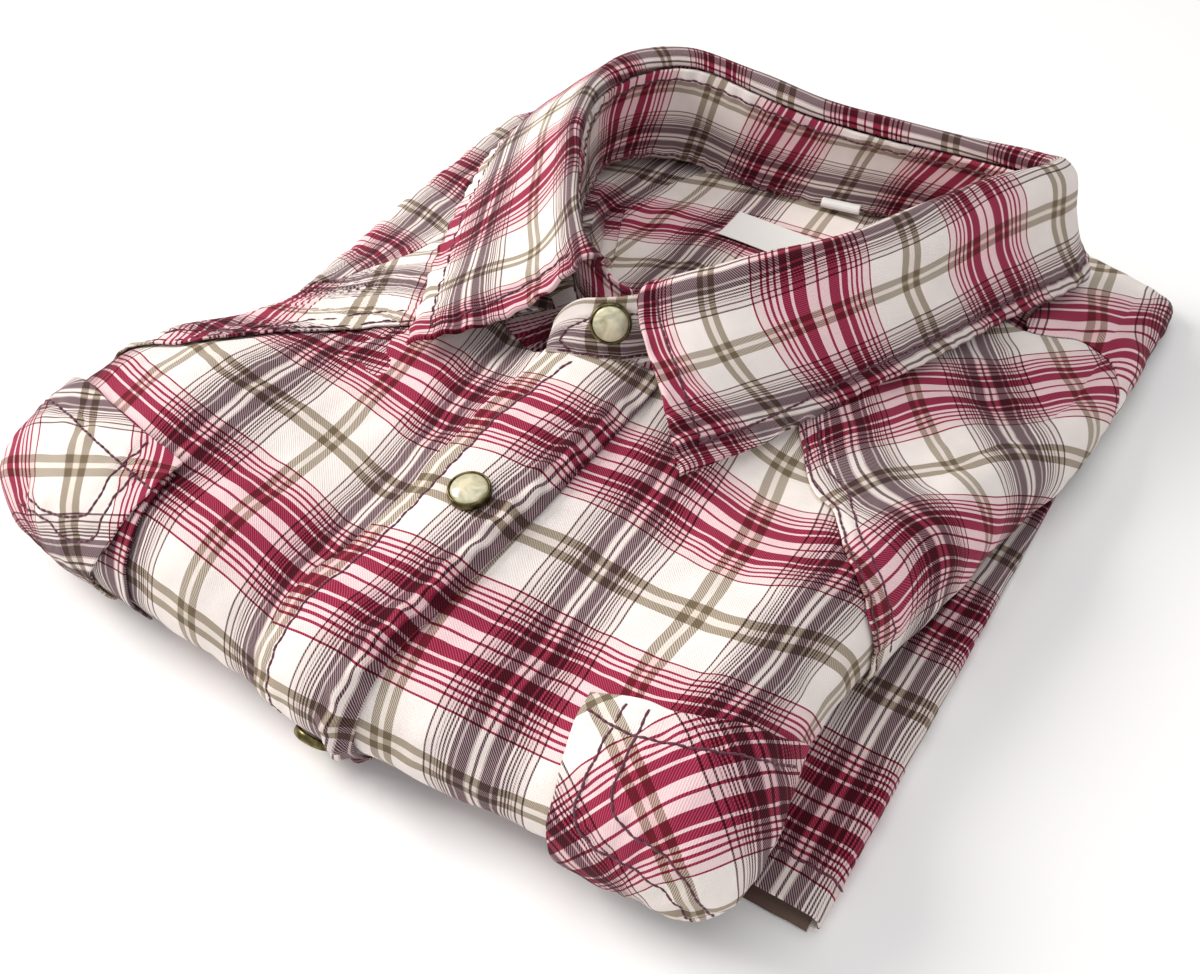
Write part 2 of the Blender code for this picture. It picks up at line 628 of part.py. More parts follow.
# ---------------------------------------------------------------- the shirt
def centre_on_base(objects):
    """Moves everything so that the middle of the base is the origin."""
    bpy.context.view_layer.update()
    corners = np.array(
        [obj.matrix_world @ vert.co for obj in objects for vert in obj.data.vertices]
    )
    low, high = corners.min(0), corners.max(0)
    shift = Vector(((low[0] + high[0]) / 2, (low[1] + high[1]) / 2, low[2]))
    for obj in objects:
        obj.location = obj.location - shift


def build():
    for obj in list(bpy.data.objects):
        bpy.data.objects.remove(obj, do_unlink=True)
    plaid = {
        key: material("plaid_" + key, colour)
        for key, colour in {
            "front": (0.62, 0.38, 0.42), "yoke": (0.56, 0.30, 0.36), "collar": (0.66, 0.44, 0.47),
            "sleeve": (0.50, 0.27, 0.33), "pocket": (0.60, 0.42, 0.44), "core": (0.55, 0.42, 0.42),
        }.items()
    }
    brass = material("antique_brass", (0.34, 0.27, 0.13), 0.4, 1.0)
    pearl = material("pearl", (0.78, 0.76, 0.66), 0.25)
    white = material("label", (0.9, 0.9, 0.88), 0.7)

    hidden_layers(plaid["core"])

    axis = of_table(PLACKET_AXIS)
    front_low = roll_end("front", 125)
    side_left, side_right = roll_end("left", 122), roll_end("right", 118)
    upper = 13.0  # the panels run on under the yokes

    def capped(u_side, v_end):
        """A side's roll end, eased in at the corner so that the sheet stays off the floor."""
        return lambda v: u_side(np.maximum(v, v_end))

    # The fronts run on under the yokes, and stop at the neckline beside the placket.
    def right_top(u):
        under_yoke = table(YOKE_SEAM_RIGHT, u) + upper
        return np.where(u < 48, np.interp(u, (16, 24, 32, 48), (59, 68, 78, 86)), under_yoke)

    def left_top(u):
        under_yoke = table(YOKE_SEAM_LEFT, u) + upper
        return np.where(u > -52, np.interp(u, (-52, -40, -28, -18), (75, 70, 64, 58.5)), under_yoke)

    def tucked(seam):
        """The front's lift: it dips a little where the yoke covers it."""
        return lambda u, v: -0.6 * np.clip((v - table(seam, u) + 5) / 6, 0, 1)

    front_left = on_skin(
        lambda v: axis(v) + 12.5, capped(side_right, -40), front_low, right_top,
        tucked(YOKE_SEAM_RIGHT),
        (0.4, 0.59), (0.5, 0.34),
    )
    sheet("front_left", 15, 16, front_left, WALL, plaid["front"])
    front_right = on_skin(
        capped(side_left, -38), lambda v: axis(v) + 10.5, front_low, left_top,
        tucked(YOKE_SEAM_LEFT),
        (0.5, 0.29), (0.5, 0.34),
    )
    sheet("front_right", 18, 16, front_right, WALL, plaid["front"])

    placket = on_skin(
        lambda v: axis(v) - PLACKET_LEFT, lambda v: axis(v) + PLACKET_RIGHT,
        lambda u: roll_end("front", 140)(u), flat(PLACKET_TOP), placket_lift, (0.5, 0.5), (0.5, 0.35),
    )
    sheet("placket", 9, 18, placket, WALL, plaid["front"])

    yoke_left = on_skin(
        of_table(NECK_CLEAR_RIGHT, 2.5), lambda v: side_right(v) - 1.0, of_table(YOKE_SEAM_RIGHT),
        of_table(ARM_SEAM_RIGHT), PLY_LIFT, (0.4, 0.6), (0.5, 0.5),
    )
    sheet("front_yoke_left", 10, 10, yoke_left, WALL, plaid["yoke"])
    yoke_right = on_skin(
        lambda v: np.maximum(table(ARM_SEAM_LEFT, v), side_left(v) + 1.0),
        of_table(NECK_CLEAR_LEFT, -2.5), of_table(YOKE_SEAM_LEFT), flat(200), PLY_LIFT,
        (0.6, 0.32), (0.2, 0.14, 0.75, 0.42),
    )
    sheet("front_yoke_right", 10, 13, yoke_right, WALL, plaid["yoke"])
    build_rest(plaid, brass, pearl, white)
    centre_on_base([obj for obj in bpy.context.scene.objects if obj.type == "MESH"])


def build_rest(plaid, brass, pearl, white):
    side_left, side_right = roll_end("left", 122), roll_end("right", 118)
    back_high = roll_end("back", 118)
    # Sleeve heads, beyond the armhole seams.
    head_left = on_skin(
        lambda v: np.interp(v, (170, 185, 215, 262), (104, 98, 101, 102)),
        lambda v: side_right(v) - 0.5,
        lambda u: table(ARM_SEAM_RIGHT, u) + 1.0, back_high, PLY_LIFT, (0.45, 0.65), (0.5, 0.8),
    )
    sheet("sleeve_left_head", 7, 9, head_left, WALL, plaid["sleeve"])
    sleeve_strip(
        "sleeve_left_fold", SLEEVE_FOLD, SLEEVE_FOLD_HIGH, 85.3, HEM_MOUTH, 152.0, plaid["sleeve"]
    )
    sleeve_right = on_skin(
        lambda v: side_left(v) + 1.0, lambda v: table(ARM_SEAM_LEFT, v) - 2.3,
        flat(56), lambda u: back_high(u) - 2.0, PLY_LIFT, (0.6, 0.4), (0.4, 0.26, 0.78, 0.93),
    )
    sheet("sleeve_right", 8, 13, sleeve_right, WALL, plaid["sleeve"])

    # Pockets and their bias flaps, on the fronts where they roll under the bottom fold.
    front_low = roll_end("front", 126)
    pocket_left = on_skin(
        flat(70), lambda v: np.interp(v, (-95, -57, -37, -16), (124, 119, 113, 109)), front_low,
        lambda u: table(FLAP_RIGHT_TOP, u) - 4.0, PLY_LIFT + 0.3, (0.25, 0.34), (0.5, 0.5),
    )
    sheet("pocket_left", 9, 9, pocket_left, WALL, plaid["pocket"])
    pocket_right = on_skin(
        lambda v: side_left(v) + 3.0, flat(-77.5), front_low,
        lambda u: table(FLAP_LEFT_TOP, u) - 4.0, PLY_LIFT + 0.2, (0.6, 0.5), (0.5, 0.5),
    )
    sheet("pocket_right", 10, 9, pocket_right, WALL, plaid["pocket"])
    flap_left = on_skin(
        lambda v: np.interp(v, (-95, -60, -35), (67, 65, 61)),
        lambda v: np.interp(v, (-95, -57, -37, -16), (128, 123, 117, 113)),
        lambda u: front_low(u) - 1.0,
        of_table(FLAP_RIGHT_TOP), 2 * PLY_LIFT + 0.7, (0.25, 0.36), (0.5, 0.5),
    )
    sheet("pocket_flap_left", 10, 10, flap_left, WALL, plaid["pocket"])
    flap_right = on_skin(
        lambda v: side_left(v) + 1.0,
        lambda v: np.interp(v, (-95, -71, -59, -45, -31), (-93, -91, -83.5, -78.5, -78)),
        lambda u: front_low(u) - 1.0, of_table(FLAP_LEFT_TOP), 2 * PLY_LIFT + 0.4, (0.6, 0.5),
        (0.5, 0.5),
    )
    sheet("pocket_flap_right", 10, 10, flap_right, WALL, plaid["pocket"])

    # Back yoke: over the floor of the neck, under the stand and over the back edge.
    def back_place(p, q, out):
        y = between(q, 98.0, back_high(np.zeros(1))[0])
        left = np.interp(y, (98, 130, 168, 190, 203, 208, 216, 240), (-18, -35, -51, -46, -34, -46, -92, -95.5))
        right = np.interp(y, (98, 130, 168, 190, 209, 214, 221, 240), (22, 45, 62, 69, 74, 78, 92, 99))
        x = between(p, left, right)
        lying = drape(x, y, PLY_LIFT + out)
        floor = np.stack([x, y, table(NECK_FLOOR, y) + 0.9 + out], -1)
        over = np.clip((y - 188) / 20, 0, 1)
        over = (over * over * (3 - 2 * over))[:, None]
        return lying * over + floor * (1 - over)

    sheet("back_yoke", 10, 18, back_place, WALL, plaid["yoke"])

    sheet("collar_stand", 52, 2, stand_place, COLLAR_WALL, plaid["collar"])
    sheet("collar_fall", 42, 9, fall_place, COLLAR_WALL, plaid["collar"])

    # Snaps: one on the stand's shown end, two down the placket.
    snap("snap_collar", stand_place, (18.65 / 20, 0.6), (0.016, 0.35), COLLAR_WALL, brass, pearl)

    def on_placket(u, v, out):
        return drape(u, v, placket_lift(u, v) + out)

    for name, v in (("snap_front_1", -0.8), ("snap_front_2", -95.5)):
        u = table(PLACKET_AXIS, [v])[0]
        snap(name, on_placket, (u, v), (8, 8), WALL, brass, pearl)

    # Woven labels: the neck label lies on the back yoke with its lower edge loose, the size tab is
    # a loop of ribbon out of the stand's seam.
    def label_place(p, q, out):
        x = between(p, -13.0, 38.0)
        y = between(q, 168.0, 189.5) - 2.5 * p
        floor = table(NECK_FLOOR, y) + 0.9 + WALL + SEAM_GAP + 0.3
        loose = 1.4 * (1 - q) ** 2
        return np.stack([x, y, floor + loose + out], -1)

    sheet("neck_label", 4, 3, label_place, 0.5, white)

    def tab_place(p, q, out):
        keys = np.linspace(0, 1, len(TAB_LOOP))
        away, up = (hermite(keys, [row[c] for row in TAB_LOOP], q) for c in (0, 1))
        ahead = [hermite(keys, [row[c] for row in TAB_LOOP], np.minimum(q + 0.02, 1)) for c in (0, 1)]
        behind = [hermite(keys, [row[c] for row in TAB_LOOP], np.maximum(q - 0.02, 0)) for c in (0, 1)]
        da, du = ahead[0] - behind[0], ahead[1] - behind[1]
        size = np.hypot(da, du)
        away, up = away - du / size * (out - 0.25), up + da / size * (out - 0.25)
        (x, y, z), (along_x, along_y) = TAB_SEAT, TAB_WAY
        return np.stack(
            [
                x + TAB_WIDE * p * along_x + away * along_y,
                y + TAB_WIDE * p * along_y - away * along_x,
                z + up,
            ],
            -1,
        )

    sheet("size_tab", 2, 7, tab_place, 0.5, white)


build()
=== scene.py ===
"""Looks of a men's western snap shirt, folded and lying front up.

Lengths are in millimetres on the shirt's own axes: X runs to the wearer's left and Y from the
bottom fold to the collar. The body's woven panels lie on one draped skin, so that a point (u, v)
of the cloth has one place on it. Each panel's plaid is charted by where its stripes cross.
In the names of tables and rows, right is where X rises. In the names of pieces, left and right
are the wearer's.
"""

from __future__ import annotations

import logging
import math
from collections.abc import Callable, Sequence
from dataclasses import dataclass, field
from enum import Enum

import bmesh
import bpy
import numpy as np
from mathutils import Matrix, Vector

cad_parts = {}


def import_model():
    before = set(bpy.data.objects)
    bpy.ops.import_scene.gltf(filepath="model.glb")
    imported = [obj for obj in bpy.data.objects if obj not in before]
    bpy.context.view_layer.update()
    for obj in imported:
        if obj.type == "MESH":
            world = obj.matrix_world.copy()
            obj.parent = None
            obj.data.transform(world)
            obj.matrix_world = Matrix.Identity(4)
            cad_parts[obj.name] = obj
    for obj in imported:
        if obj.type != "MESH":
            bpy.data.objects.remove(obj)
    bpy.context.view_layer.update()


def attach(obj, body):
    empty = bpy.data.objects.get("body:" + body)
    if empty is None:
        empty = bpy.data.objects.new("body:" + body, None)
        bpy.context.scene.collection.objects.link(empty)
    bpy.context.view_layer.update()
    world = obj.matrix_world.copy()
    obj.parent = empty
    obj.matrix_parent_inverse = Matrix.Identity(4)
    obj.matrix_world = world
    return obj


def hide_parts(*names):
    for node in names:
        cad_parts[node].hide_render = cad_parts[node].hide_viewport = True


log = logging.getLogger("western_shirt")

Array = np.ndarray
Line = Callable[[Array], Array]
Place = Callable[[Array, Array, "Array | float"], Array]

MM = 0.001
SHIFT = np.array([-5.75, 96.24, 0.0])  # the model is centred on the middle of its base

# ---- Cloth and gaps ----
WALL = 1.0
COLLAR_WALL = 1.8  # two plies
PLY_LIFT = 1.45  # from one ply's underside to that of the ply on it
CORE_DROP = 1.3  # from the fronts' underside down to the folded layers
CREASE_LIMIT = 1.15  # height that no worn crease passes
UV_MM = 100.0  # millimetres of cloth in one unit of a weave map

# ---- The mound: height of the outer ply over the plan, one row per y ----
MOUND_X = (-150, -125, -100, -75, -50, -25, 0, 25, 50, 75, 100, 125)
MOUND_Z = {
    -60: (43, 46, 49, 48, 45, 45, 46, 43, 43, 49, 50, 48),
    -40: (44, 48, 50, 49, 46, 46, 47, 44, 44, 49, 50, 48),
    0: (44, 50, 54, 50, 44, 49, 53, 50, 48, 49, 54, 52),
    40: (29, 37, 44, 47, 49, 54, 57, 54, 50, 48, 46, 44),
    80: (20, 27, 36, 45, 53, 57, 59, 57, 54, 49, 43, 37),
    130: (14, 19, 28, 42, 50, 52, 54, 52, 50, 43, 35, 27),
    180: (13, 18, 26, 40, 39, 35, 34, 34, 35, 38, 29, 20),
    215: (11, 15, 22, 32, 34, 33, 32, 32, 32, 30, 23, 15),
    250: (7, 9, 12, 17, 22, 24, 24, 24, 23, 20, 15, 9),
    265: (6, 7, 9, 12, 16, 18, 18, 18, 17, 15, 11, 7),
}
# Soft ridges and troughs on it: x0, y0, x1, y1, width, height
MOUND_FOLDS = (
    (22, 40, 60, -60, 16, -3.0),
    (-30, 60, -34, -60, 12, -4.0),
    (-100, 20, -60, -30, 18, 1.5),
    (98, -55, 102, 10, 16, 1.5),
)

# ---- Outline in plan, and the radius of the roll at each edge ----
EDGE_LEFT = {-60: -138, -40: -141, 0: -141.5, 25: -137, 45: -128, 62: -125, 89: -133.5,
             120: -139.5, 180: -143, 240: -146, 265: -143}
EDGE_RIGHT = {-60: 113, -40: 112, -2: 107, 36: 112, 70: 119, 111: 126, 150: 133, 180: 135,
              249: 137, 265: 137}
EDGE_FRONT = {-150: -50, -125: -54, -100: -58, -60: -61, -30: -63, -5: -66, 20: -64, 55: -61.5,
              80: -62, 110: -60, 125: -58}
EDGE_BACK = {-150: 247, -100: 252, 0: 258, 80: 260, 110: 260, 137: 254}
ROLL_RIGHT = {-60: 22, -40: 22, 0: 23, 40: 20, 80: 17, 130: 12, 180: 7, 250: 5}
ROLL_LEFT = {-60: 21, -40: 21, 0: 22, 40: 19, 70: 13, 100: 9, 250: 4}
ROLL_FRONT = {-150: 21, -100: 23, 0: 24, 100: 24, 125: 22}
ROLL_BACK = {-150: 5, 0: 9, 137: 5}
CLOTH_U, CLOTH_V = (-150, 137), (-60, 265)  # how far the tables of the mound and edges reach
CORNER = 7.0  # rounding of the rolls' corners in plan
SQUARENESS = 4.0  # power of the curve that joins the rolls of two edges
ROLL_FOOT = 3.0  # height that the rolls come down to

# ---- Placket, along v ----
PLACKET_AXIS = {-110: -12.5, -67: -9.5, -20: -2.5, 0: 0, 30: 2, 62: 5.5}
PLACKET_LEFT, PLACKET_RIGHT = 18.5, 17.5
PLACKET_TOP = 66.0
PLACKET_RIDGE = (11.5, 5.0, 2.2)  # off the axis, width, height
SNAP_PLACES = (-0.8, -95.5)  # the two snaps that show

# ---- Seams and edges on the cloth: u against v, or v against u ----
YOKE_SEAM_RIGHT = {15: 95, 32: 88, 48: 80, 64.3: 71.7, 78.5: 53.8, 84: 51.8, 96.3: 36,
                   107.3: 28.7, 121: 26.4, 145: 25}
YOKE_SEAM_LEFT = {-150: -4, -125: 4, -110: 16, -98.8: 30.1, -82.6: 43.7, -65: 55.1,
                  -50: 61.5, -30: 74, -15: 80}
ARM_SEAM_RIGHT = {90: 175, 101: 178, 120: 194.6, 128.3: 192.3, 132: 185.7, 140: 177, 150: 174}
ARM_SEAM_LEFT = {42: -165, 50: -148, 58: -132, 68: -121, 79: -115, 86: -110, 96: -103.5, 109: -100,
                 140: -98, 205: -97}
NECK_CLEAR_RIGHT = {60: 17, 66: 19, 82: 33, 105: 48, 131: 65, 168: 80, 205: 96}
NECK_CLEAR_LEFT = {60: -18, 75: -18, 85: -27, 130: -54, 168: -71, 200: -70}
FLAP_RIGHT_TOP = {60: -35.6, 75.8: -34.3, 82.9: -35, 91.2: -32, 95: -29.6, 104: -24, 113: -16,
                  150: -10}
FLAP_LEFT_TOP = {-165: -8, -132: -17.9, -113: -23.9, -98: -28, -84.7: -30, -76: -31.5}

# ---- Neck ----
NECK_CENTRE = (5.0, 135.0)
NECK_FLOOR = {60: 27, 100: 27.5, 150: 29.5, 185: 31, 215: 32.5}
# Stand stations, from its hidden end round the back to its shown end: x, y, lean x, lean y, top z
STAND = (
    (9, 75, 0, 8, 73), (0, 71, 0, 9, 74.5), (-10, 75.5, -1, 8, 77.5), (-21, 87, -1, 4, 80),
    (-47, 130, 0, 0, 77), (-63, 168, 0, 0, 74.5), (-59, 191, 1, 1, 75), (-43, 202, 0, 1, 76.5),
    (-18, 204, 0, 0, 73.5), (5, 206, 0, 0, 69.5), (30, 210, 0, 0, 67), (60, 216, 0, 0, 65),
    (81, 217, 1, 1, 65), (86, 207, 0, 0, 71), (72, 168, 0, 0, 79), (57, 131, 0, 0, 82),
    (40, 105, 0, 2, 82), (25, 83, 0, 6, 81), (12, 66, 0, 9, 79.5), (0, 59.5, 0, 9.5, 77),
    (-13, 57, 0, 9, 74),
)
STAND_END = 9.0  # length over which the stand's ends round off
COLLAR_SNAP = (18.65, 0.6)  # its station, and its share of the stand's height
# Fall stations: stand station, rim x y z, half way x y z, leaf edge x y z
FALL = (
    (1.6, -8, 74, 84, -27, 58, 66, -53, 40, 57),
    (3.0, -21, 88, 85.5, -40, 70, 71, -61, 56, 55),
    (4.0, -49, 132, 82.5, -71, 126, 67, -91, 118, 45.5),
    (5.0, -66, 170, 79.5, -89, 170, 61, -111, 171, 37),
    (6.0, -63, 194, 80.5, -88, 203, 58, -115, 212, 33),
    (7.0, -45, 205, 82, -64, 221, 59, -88, 233, 31),
    (8.0, -19, 206, 79, -26, 224, 57, -38, 240, 32),
    (9.0, 3, 208, 75, 2, 224, 55, 1, 241, 31),
    (10.0, 28, 212, 72.6, 32, 228, 53, 36, 242, 31),
    (11.0, 58, 218, 70.5, 63, 232, 51, 70, 242, 30),
    (12.0, 82, 220, 70.5, 90, 229, 51, 99, 236, 29),
    (13.0, 89, 210, 76, 99, 215, 54, 109, 221, 28.6),
    (14.0, 74, 169, 84.5, 87, 172, 62, 98, 180, 37.5),
    (15.0, 59, 131, 88, 75, 131, 68.5, 87, 137, 46),
    (16.0, 42, 104, 88, 61, 102, 71, 76, 103, 52),
    (17.0, 27, 82, 87.5, 45, 70, 72, 62, 64, 55),
    (17.9, 12, 68, 84.5, 31, 48.5, 70, 46.8, 32.7, 58),
)

# ---- Sleeve strip folded back beside the body ----
SLEEVE_FOLD = {-41: 129, 60: 130, 152: 131}
SLEEVE_FOLD_HIGH = {-41: 8.0, 0: 7.5, 70: 6.0, 110: 4.0, 152: 2.6}
HEM_MOUTH, SLEEVE_TOP = -40.5, 152.0

# ---- Base of the folded layers: left, right, front, back ----
FOOT = (-127, 83, -50, 243)

# ---- Size tab and snaps ----
TAB_SEAT = (12.6, 206.0, 36.8)
TAB_WAY = (0.9875, 0.157)
TAB_WIDE = 14.4
TAB_LOOP = ((0.8, 2.7), (2.2, 3.3), (3.6, 3.0), (4.3, 1.9), (3.7, 0.8), (2.3, 0.5), (0.9, 0.6))
RING_RADIUS = 6.3


# ------------------------------------------------------------------ smooth tables
def hermite(xs: Sequence[float] | Array, ys: Sequence[float] | Array, x: Array) -> Array:
    """Smooth curve through a table.

    Args:
        xs: Rising keys.
        ys: One value per key, or one column of them per query.
        x: Where to read it.

    Returns:
        The curve's value at each query.
    """
    xs, ys = np.asarray(xs, float), np.asarray(ys, float)
    x = np.clip(x, xs[0], xs[-1])
    i = np.clip(np.searchsorted(xs, x, side="right") - 1, 0, len(xs) - 2)
    step = np.diff(xs)
    if ys.ndim == 1:
        ys = np.repeat(ys[:, None], len(x), axis=1)
    slope = (ys[1:] - ys[:-1]) / step[:, None]
    share = (step[:-1] / (step[:-1] + step[1:]))[:, None]
    tangent = np.concatenate(
        [slope[:1], slope[:-1] * (1 - share) + slope[1:] * share, slope[-1:]]
    )
    column = np.arange(len(x))
    wide = xs[i + 1] - xs[i]
    t = (x - xs[i]) / wide
    return (
        (2 * t**3 - 3 * t**2 + 1) * ys[i, column]
        + (t**3 - 2 * t**2 + t) * wide * tangent[i, column]
        + (3 * t**2 - 2 * t**3) * ys[i + 1, column]
        + (t**3 - t**2) * wide * tangent[i + 1, column]
    )


def table(entries: dict[float, float], x: Array | float) -> Array:
    """Smooth curve through a dictionary of keys and values."""
    return hermite(list(entries), list(entries.values()), np.asarray(x, float).ravel())


def of_table(entries: dict[float, float], shift: float = 0.0) -> Line:
    """The table as a line, moved by shift."""
    return lambda at: table(entries, at) + shift


def flat(value: float) -> Line:
    """A line that stays at one value."""
    return lambda at: np.full(np.shape(at), float(value))


def between(t: Array, low: Array | float, high: Array | float) -> Array:
    """Straight mix of low and high."""
    return low + (high - low) * t


def unit(vectors: Array) -> Array:
    """Rows of vectors made one long."""
    return vectors / np.maximum(np.linalg.norm(vectors, axis=1), 1e-9)[:, None]


def run_along(points: Array) -> Array:
    """Distance from a path's start to each of its points."""
    return np.concatenate([[0], np.cumsum(np.linalg.norm(np.diff(points, axis=0), axis=1))])


def stops_along(run: Array) -> Array:
    """Even stops along a sewn row, about 1.2 mm apart, from the run of its points."""
    return np.linspace(0, run[-1], max(8, int(run[-1] / 1.2)))


def waves(x: Array, y: Array, seed: int, size: float, count: int = 7) -> Array:
    """Smooth seeded unevenness of about -1 to 1.

    Args:
        x: First coordinate in mm.
        y: Second coordinate in mm.
        seed: Chooses the pattern.
        size: Typical length of a wave in mm.
        count: How many waves are added up.

    Returns:
        The height of the unevenness at each point.
    """
    draw = np.random.default_rng(seed)
    total = np.zeros(np.shape(x))
    for _ in range(count):
        angle, phase = draw.uniform(0, math.tau, 2)
        pace = math.tau / (size * draw.uniform(0.7, 1.6))
        total = total + np.sin(pace * (x * math.cos(angle) + y * math.sin(angle)) + phase)
    return total / math.sqrt(count * 1.4)


# ------------------------------------------------------------------ the draped skin
def mound(x: Array, y: Array, troughs_only: bool = False) -> Array:
    """Height of the outer ply.

    Args:
        x: Places across.
        y: Places along.
        troughs_only: Leaves out the ridges and widens the troughs.

    Returns:
        The heights.
    """
    z = hermite(list(MOUND_Z), [hermite(MOUND_X, row, x) for row in MOUND_Z.values()], y)
    for x0, y0, x1, y1, width, height in MOUND_FOLDS:
        if troughs_only:
            if height > 0:
                continue
            width *= 1.5
        along = np.clip(
            ((x - x0) * (x1 - x0) + (y - y0) * (y1 - y0)) / ((x1 - x0) ** 2 + (y1 - y0) ** 2), 0, 1
        )
        away = np.hypot(x - x0 - along * (x1 - x0), y - y0 - along * (y1 - y0))
        z = z + height * np.exp(-((away / width) ** 2))
    return z


def roll_frame(u: Array, v: Array) -> tuple[Array, ...]:
    """Finds each cloth point's place on the roll at its edge.

    Args:
        u: Cloth coordinates across.
        v: Cloth coordinates along.

    Returns:
        X and y where the roll starts, x and y of its way out, its radius and the angle rolled.
    """
    u, v = np.asarray(u, float).ravel(), np.asarray(v, float).ravel()
    at_u, at_v = np.clip(u, *CLOTH_U), np.clip(v, *CLOTH_V)
    for _ in range(3):
        left, right = table(ROLL_LEFT, at_v), table(ROLL_RIGHT, at_v)
        front, back = table(ROLL_FRONT, at_u), table(ROLL_BACK, at_u)
        x0, x1 = table(EDGE_LEFT, at_v) + left, table(EDGE_RIGHT, at_v) - right
        y0, y1 = table(EDGE_FRONT, at_u) + front, table(EDGE_BACK, at_u) - back
        at_u, at_v = np.clip(u, x0, x1), np.clip(v, y0, y1)
    centre_u = np.clip(u, x0 + CORNER, x1 - CORNER)
    centre_v = np.clip(v, y0 + CORNER, y1 - CORNER)
    off_u, off_v = u - centre_u, v - centre_v
    off = np.hypot(off_u, off_v)
    way_u, way_v = (
        np.where(off > 1e-9, part / np.maximum(off, 1e-9), 0) for part in (off_u, off_v)
    )
    wide = np.where(off_u < 0, left, right)
    deep = np.where(off_v < 0, front, back)
    radius = (
        np.abs(way_u / wide) ** SQUARENESS + np.abs(way_v / deep) ** SQUARENESS + 1e-12
    ) ** (-1 / SQUARENESS)
    past = np.maximum(off - CORNER, 0)
    turned = np.where(past > 0, past / radius, 0)
    base_x = centre_u + way_u * np.minimum(off, CORNER)
    base_y = centre_v + way_v * np.minimum(off, CORNER)
    return base_x, base_y, way_u, way_v, radius, turned


def skin(u: Array, v: Array, troughs_only: bool = False) -> Array:
    """Points of the outer ply's underside.

    Args:
        u: Cloth coordinates across.
        v: Cloth coordinates along.
        troughs_only: Leaves out the ridges and widens the troughs.

    Returns:
        The points.
    """
    base_x, base_y, way_u, way_v, radius, turned = roll_frame(u, v)
    turned = np.minimum(turned, math.pi * 0.97)
    high = mound(base_x, base_y, troughs_only)
    half = np.maximum((high - ROLL_FOOT) / 2, 1.0)
    out = np.where(turned > 0, radius * np.sin(turned), 0)
    return np.stack(
        [base_x + way_u * out, base_y + way_v * out, high - half * (1 - np.cos(turned))], -1
    )


def drape(u: Array, v: Array, lift: Array | float = 0.0, troughs_only: bool = False) -> Array:
    """Points of the cloth, moved out along the skin's own normal by lift.

    Args:
        u: Cloth coordinates across.
        v: Cloth coordinates along.
        lift: How far out.
        troughs_only: Leaves out the ridges and widens the troughs.

    Returns:
        The points.
    """
    u, v = np.asarray(u, float).ravel(), np.asarray(v, float).ravel()
    e = 0.4
    across = skin(u + e, v, troughs_only) - skin(u - e, v, troughs_only)
    along = skin(u, v + e, troughs_only) - skin(u, v - e, troughs_only)
    normal = unit(np.cross(across, along))
    return skin(u, v, troughs_only) + normal * np.broadcast_to(lift, u.shape)[:, None]


def creases(u: Array, v: Array) -> Array:
    """Soft worn creases that every ply shares, so that stacked plies never cross. They fade out
    under the snaps.

    Args:
        u: Cloth coordinates across.
        v: Cloth coordinates along.

    Returns:
        The heights.
    """
    calm = np.ones(np.shape(u))
    for snap_v in SNAP_PLACES:
        snap_u = table(PLACKET_AXIS, [snap_v])[0]
        calm = calm * (1 - np.exp(-(((u - snap_u) ** 2 + (v - snap_v) ** 2) / 12.0**2)))
    worn = 0.8 * waves(u, v, 3, 34) + 0.32 * waves(u, v, 8, 12)
    return calm * CREASE_LIMIT * np.tanh(worn / CREASE_LIMIT)


class Side(Enum):
    """An edge of the folded body: its outline, its roll's radius and the sign of its way out."""

    LEFT = (EDGE_LEFT, ROLL_LEFT, -1)
    RIGHT = (EDGE_RIGHT, ROLL_RIGHT, 1)
    FRONT = (EDGE_FRONT, ROLL_FRONT, -1)
    BACK = (EDGE_BACK, ROLL_BACK, 1)


def roll_end(side: Side, turned: float) -> Line:
    """Cloth coordinate at which an edge's roll has turned this far, in degrees.

    Args:
        side: The edge.
        turned: The angle.

    Returns:
        The coordinate as a line along that edge.
    """
    edge, roll, sign = side.value

    def at(other: Array) -> Array:
        """The coordinate, by the one along the edge."""
        radius = table(roll, other)
        start = table(edge, other) - sign * radius
        return start + sign * radius * math.radians(turned)

    return at


# ------------------------------------------------------------------ the plaid's chart
WARP_HALF = 27.25  # from a plum group's centre to the middle of the olive pair
WEFT_HALF = 33.25  # from a burgundy group's centre to the middle of the olive pair


@dataclass(frozen=True)
class Chart:
    """Where the stripes cross on a panel.

    Each knot is (a, b, i, j): a point of the panel in mm, the warp stripe there (even is a plum
    centre, odd an olive pair) and the weft stripe (even is a burgundy centre, odd an olive pair).
    Between the knots the cloth is eased by a thin-plate fit, as a steamed and folded cloth is.
    """

    knots: tuple[tuple[float, float, float, float], ...]
    slack: float = 3.0

    def weave(self, a: Array, b: Array) -> Array:
        """Warp and weft coordinates, in mm, of points (a, b).

        Args:
            a: First coordinates, in mm.
            b: Second coordinates, in mm.

        Returns:
            A row of warp and weft coordinates per point.
        """
        knots = np.array(self.knots, float)
        goal = knots[:, 2:] * (WARP_HALF, WEFT_HALF)
        centre = knots[:, :2].mean(0)
        spots = (knots[:, :2] - centre) / 50.0
        asked = (np.stack([a, b], -1) - centre) / 50.0

        def bend(first: Array, second: Array) -> Array:
            """Thin-plate kernel between two sets of points."""
            far = np.linalg.norm(first[:, None] - second[None], axis=2)
            return far**2 * np.log(np.maximum(far, 1e-9))

        count = len(knots)
        tilt = np.concatenate([np.ones((count, 1)), spots], axis=1)
        system = np.zeros((count + 3, count + 3))
        system[:count, :count] = bend(spots, spots) + np.eye(count) * self.slack * 1e-3
        system[:count, count:] = tilt
        system[count:, :count] = tilt.T
        found = np.linalg.solve(system, np.concatenate([goal, np.zeros((3, 2))]))
        line = np.concatenate([np.ones((len(asked), 1)), asked], axis=1)
        return bend(asked, spots) @ found[:count] + line @ found[count:]


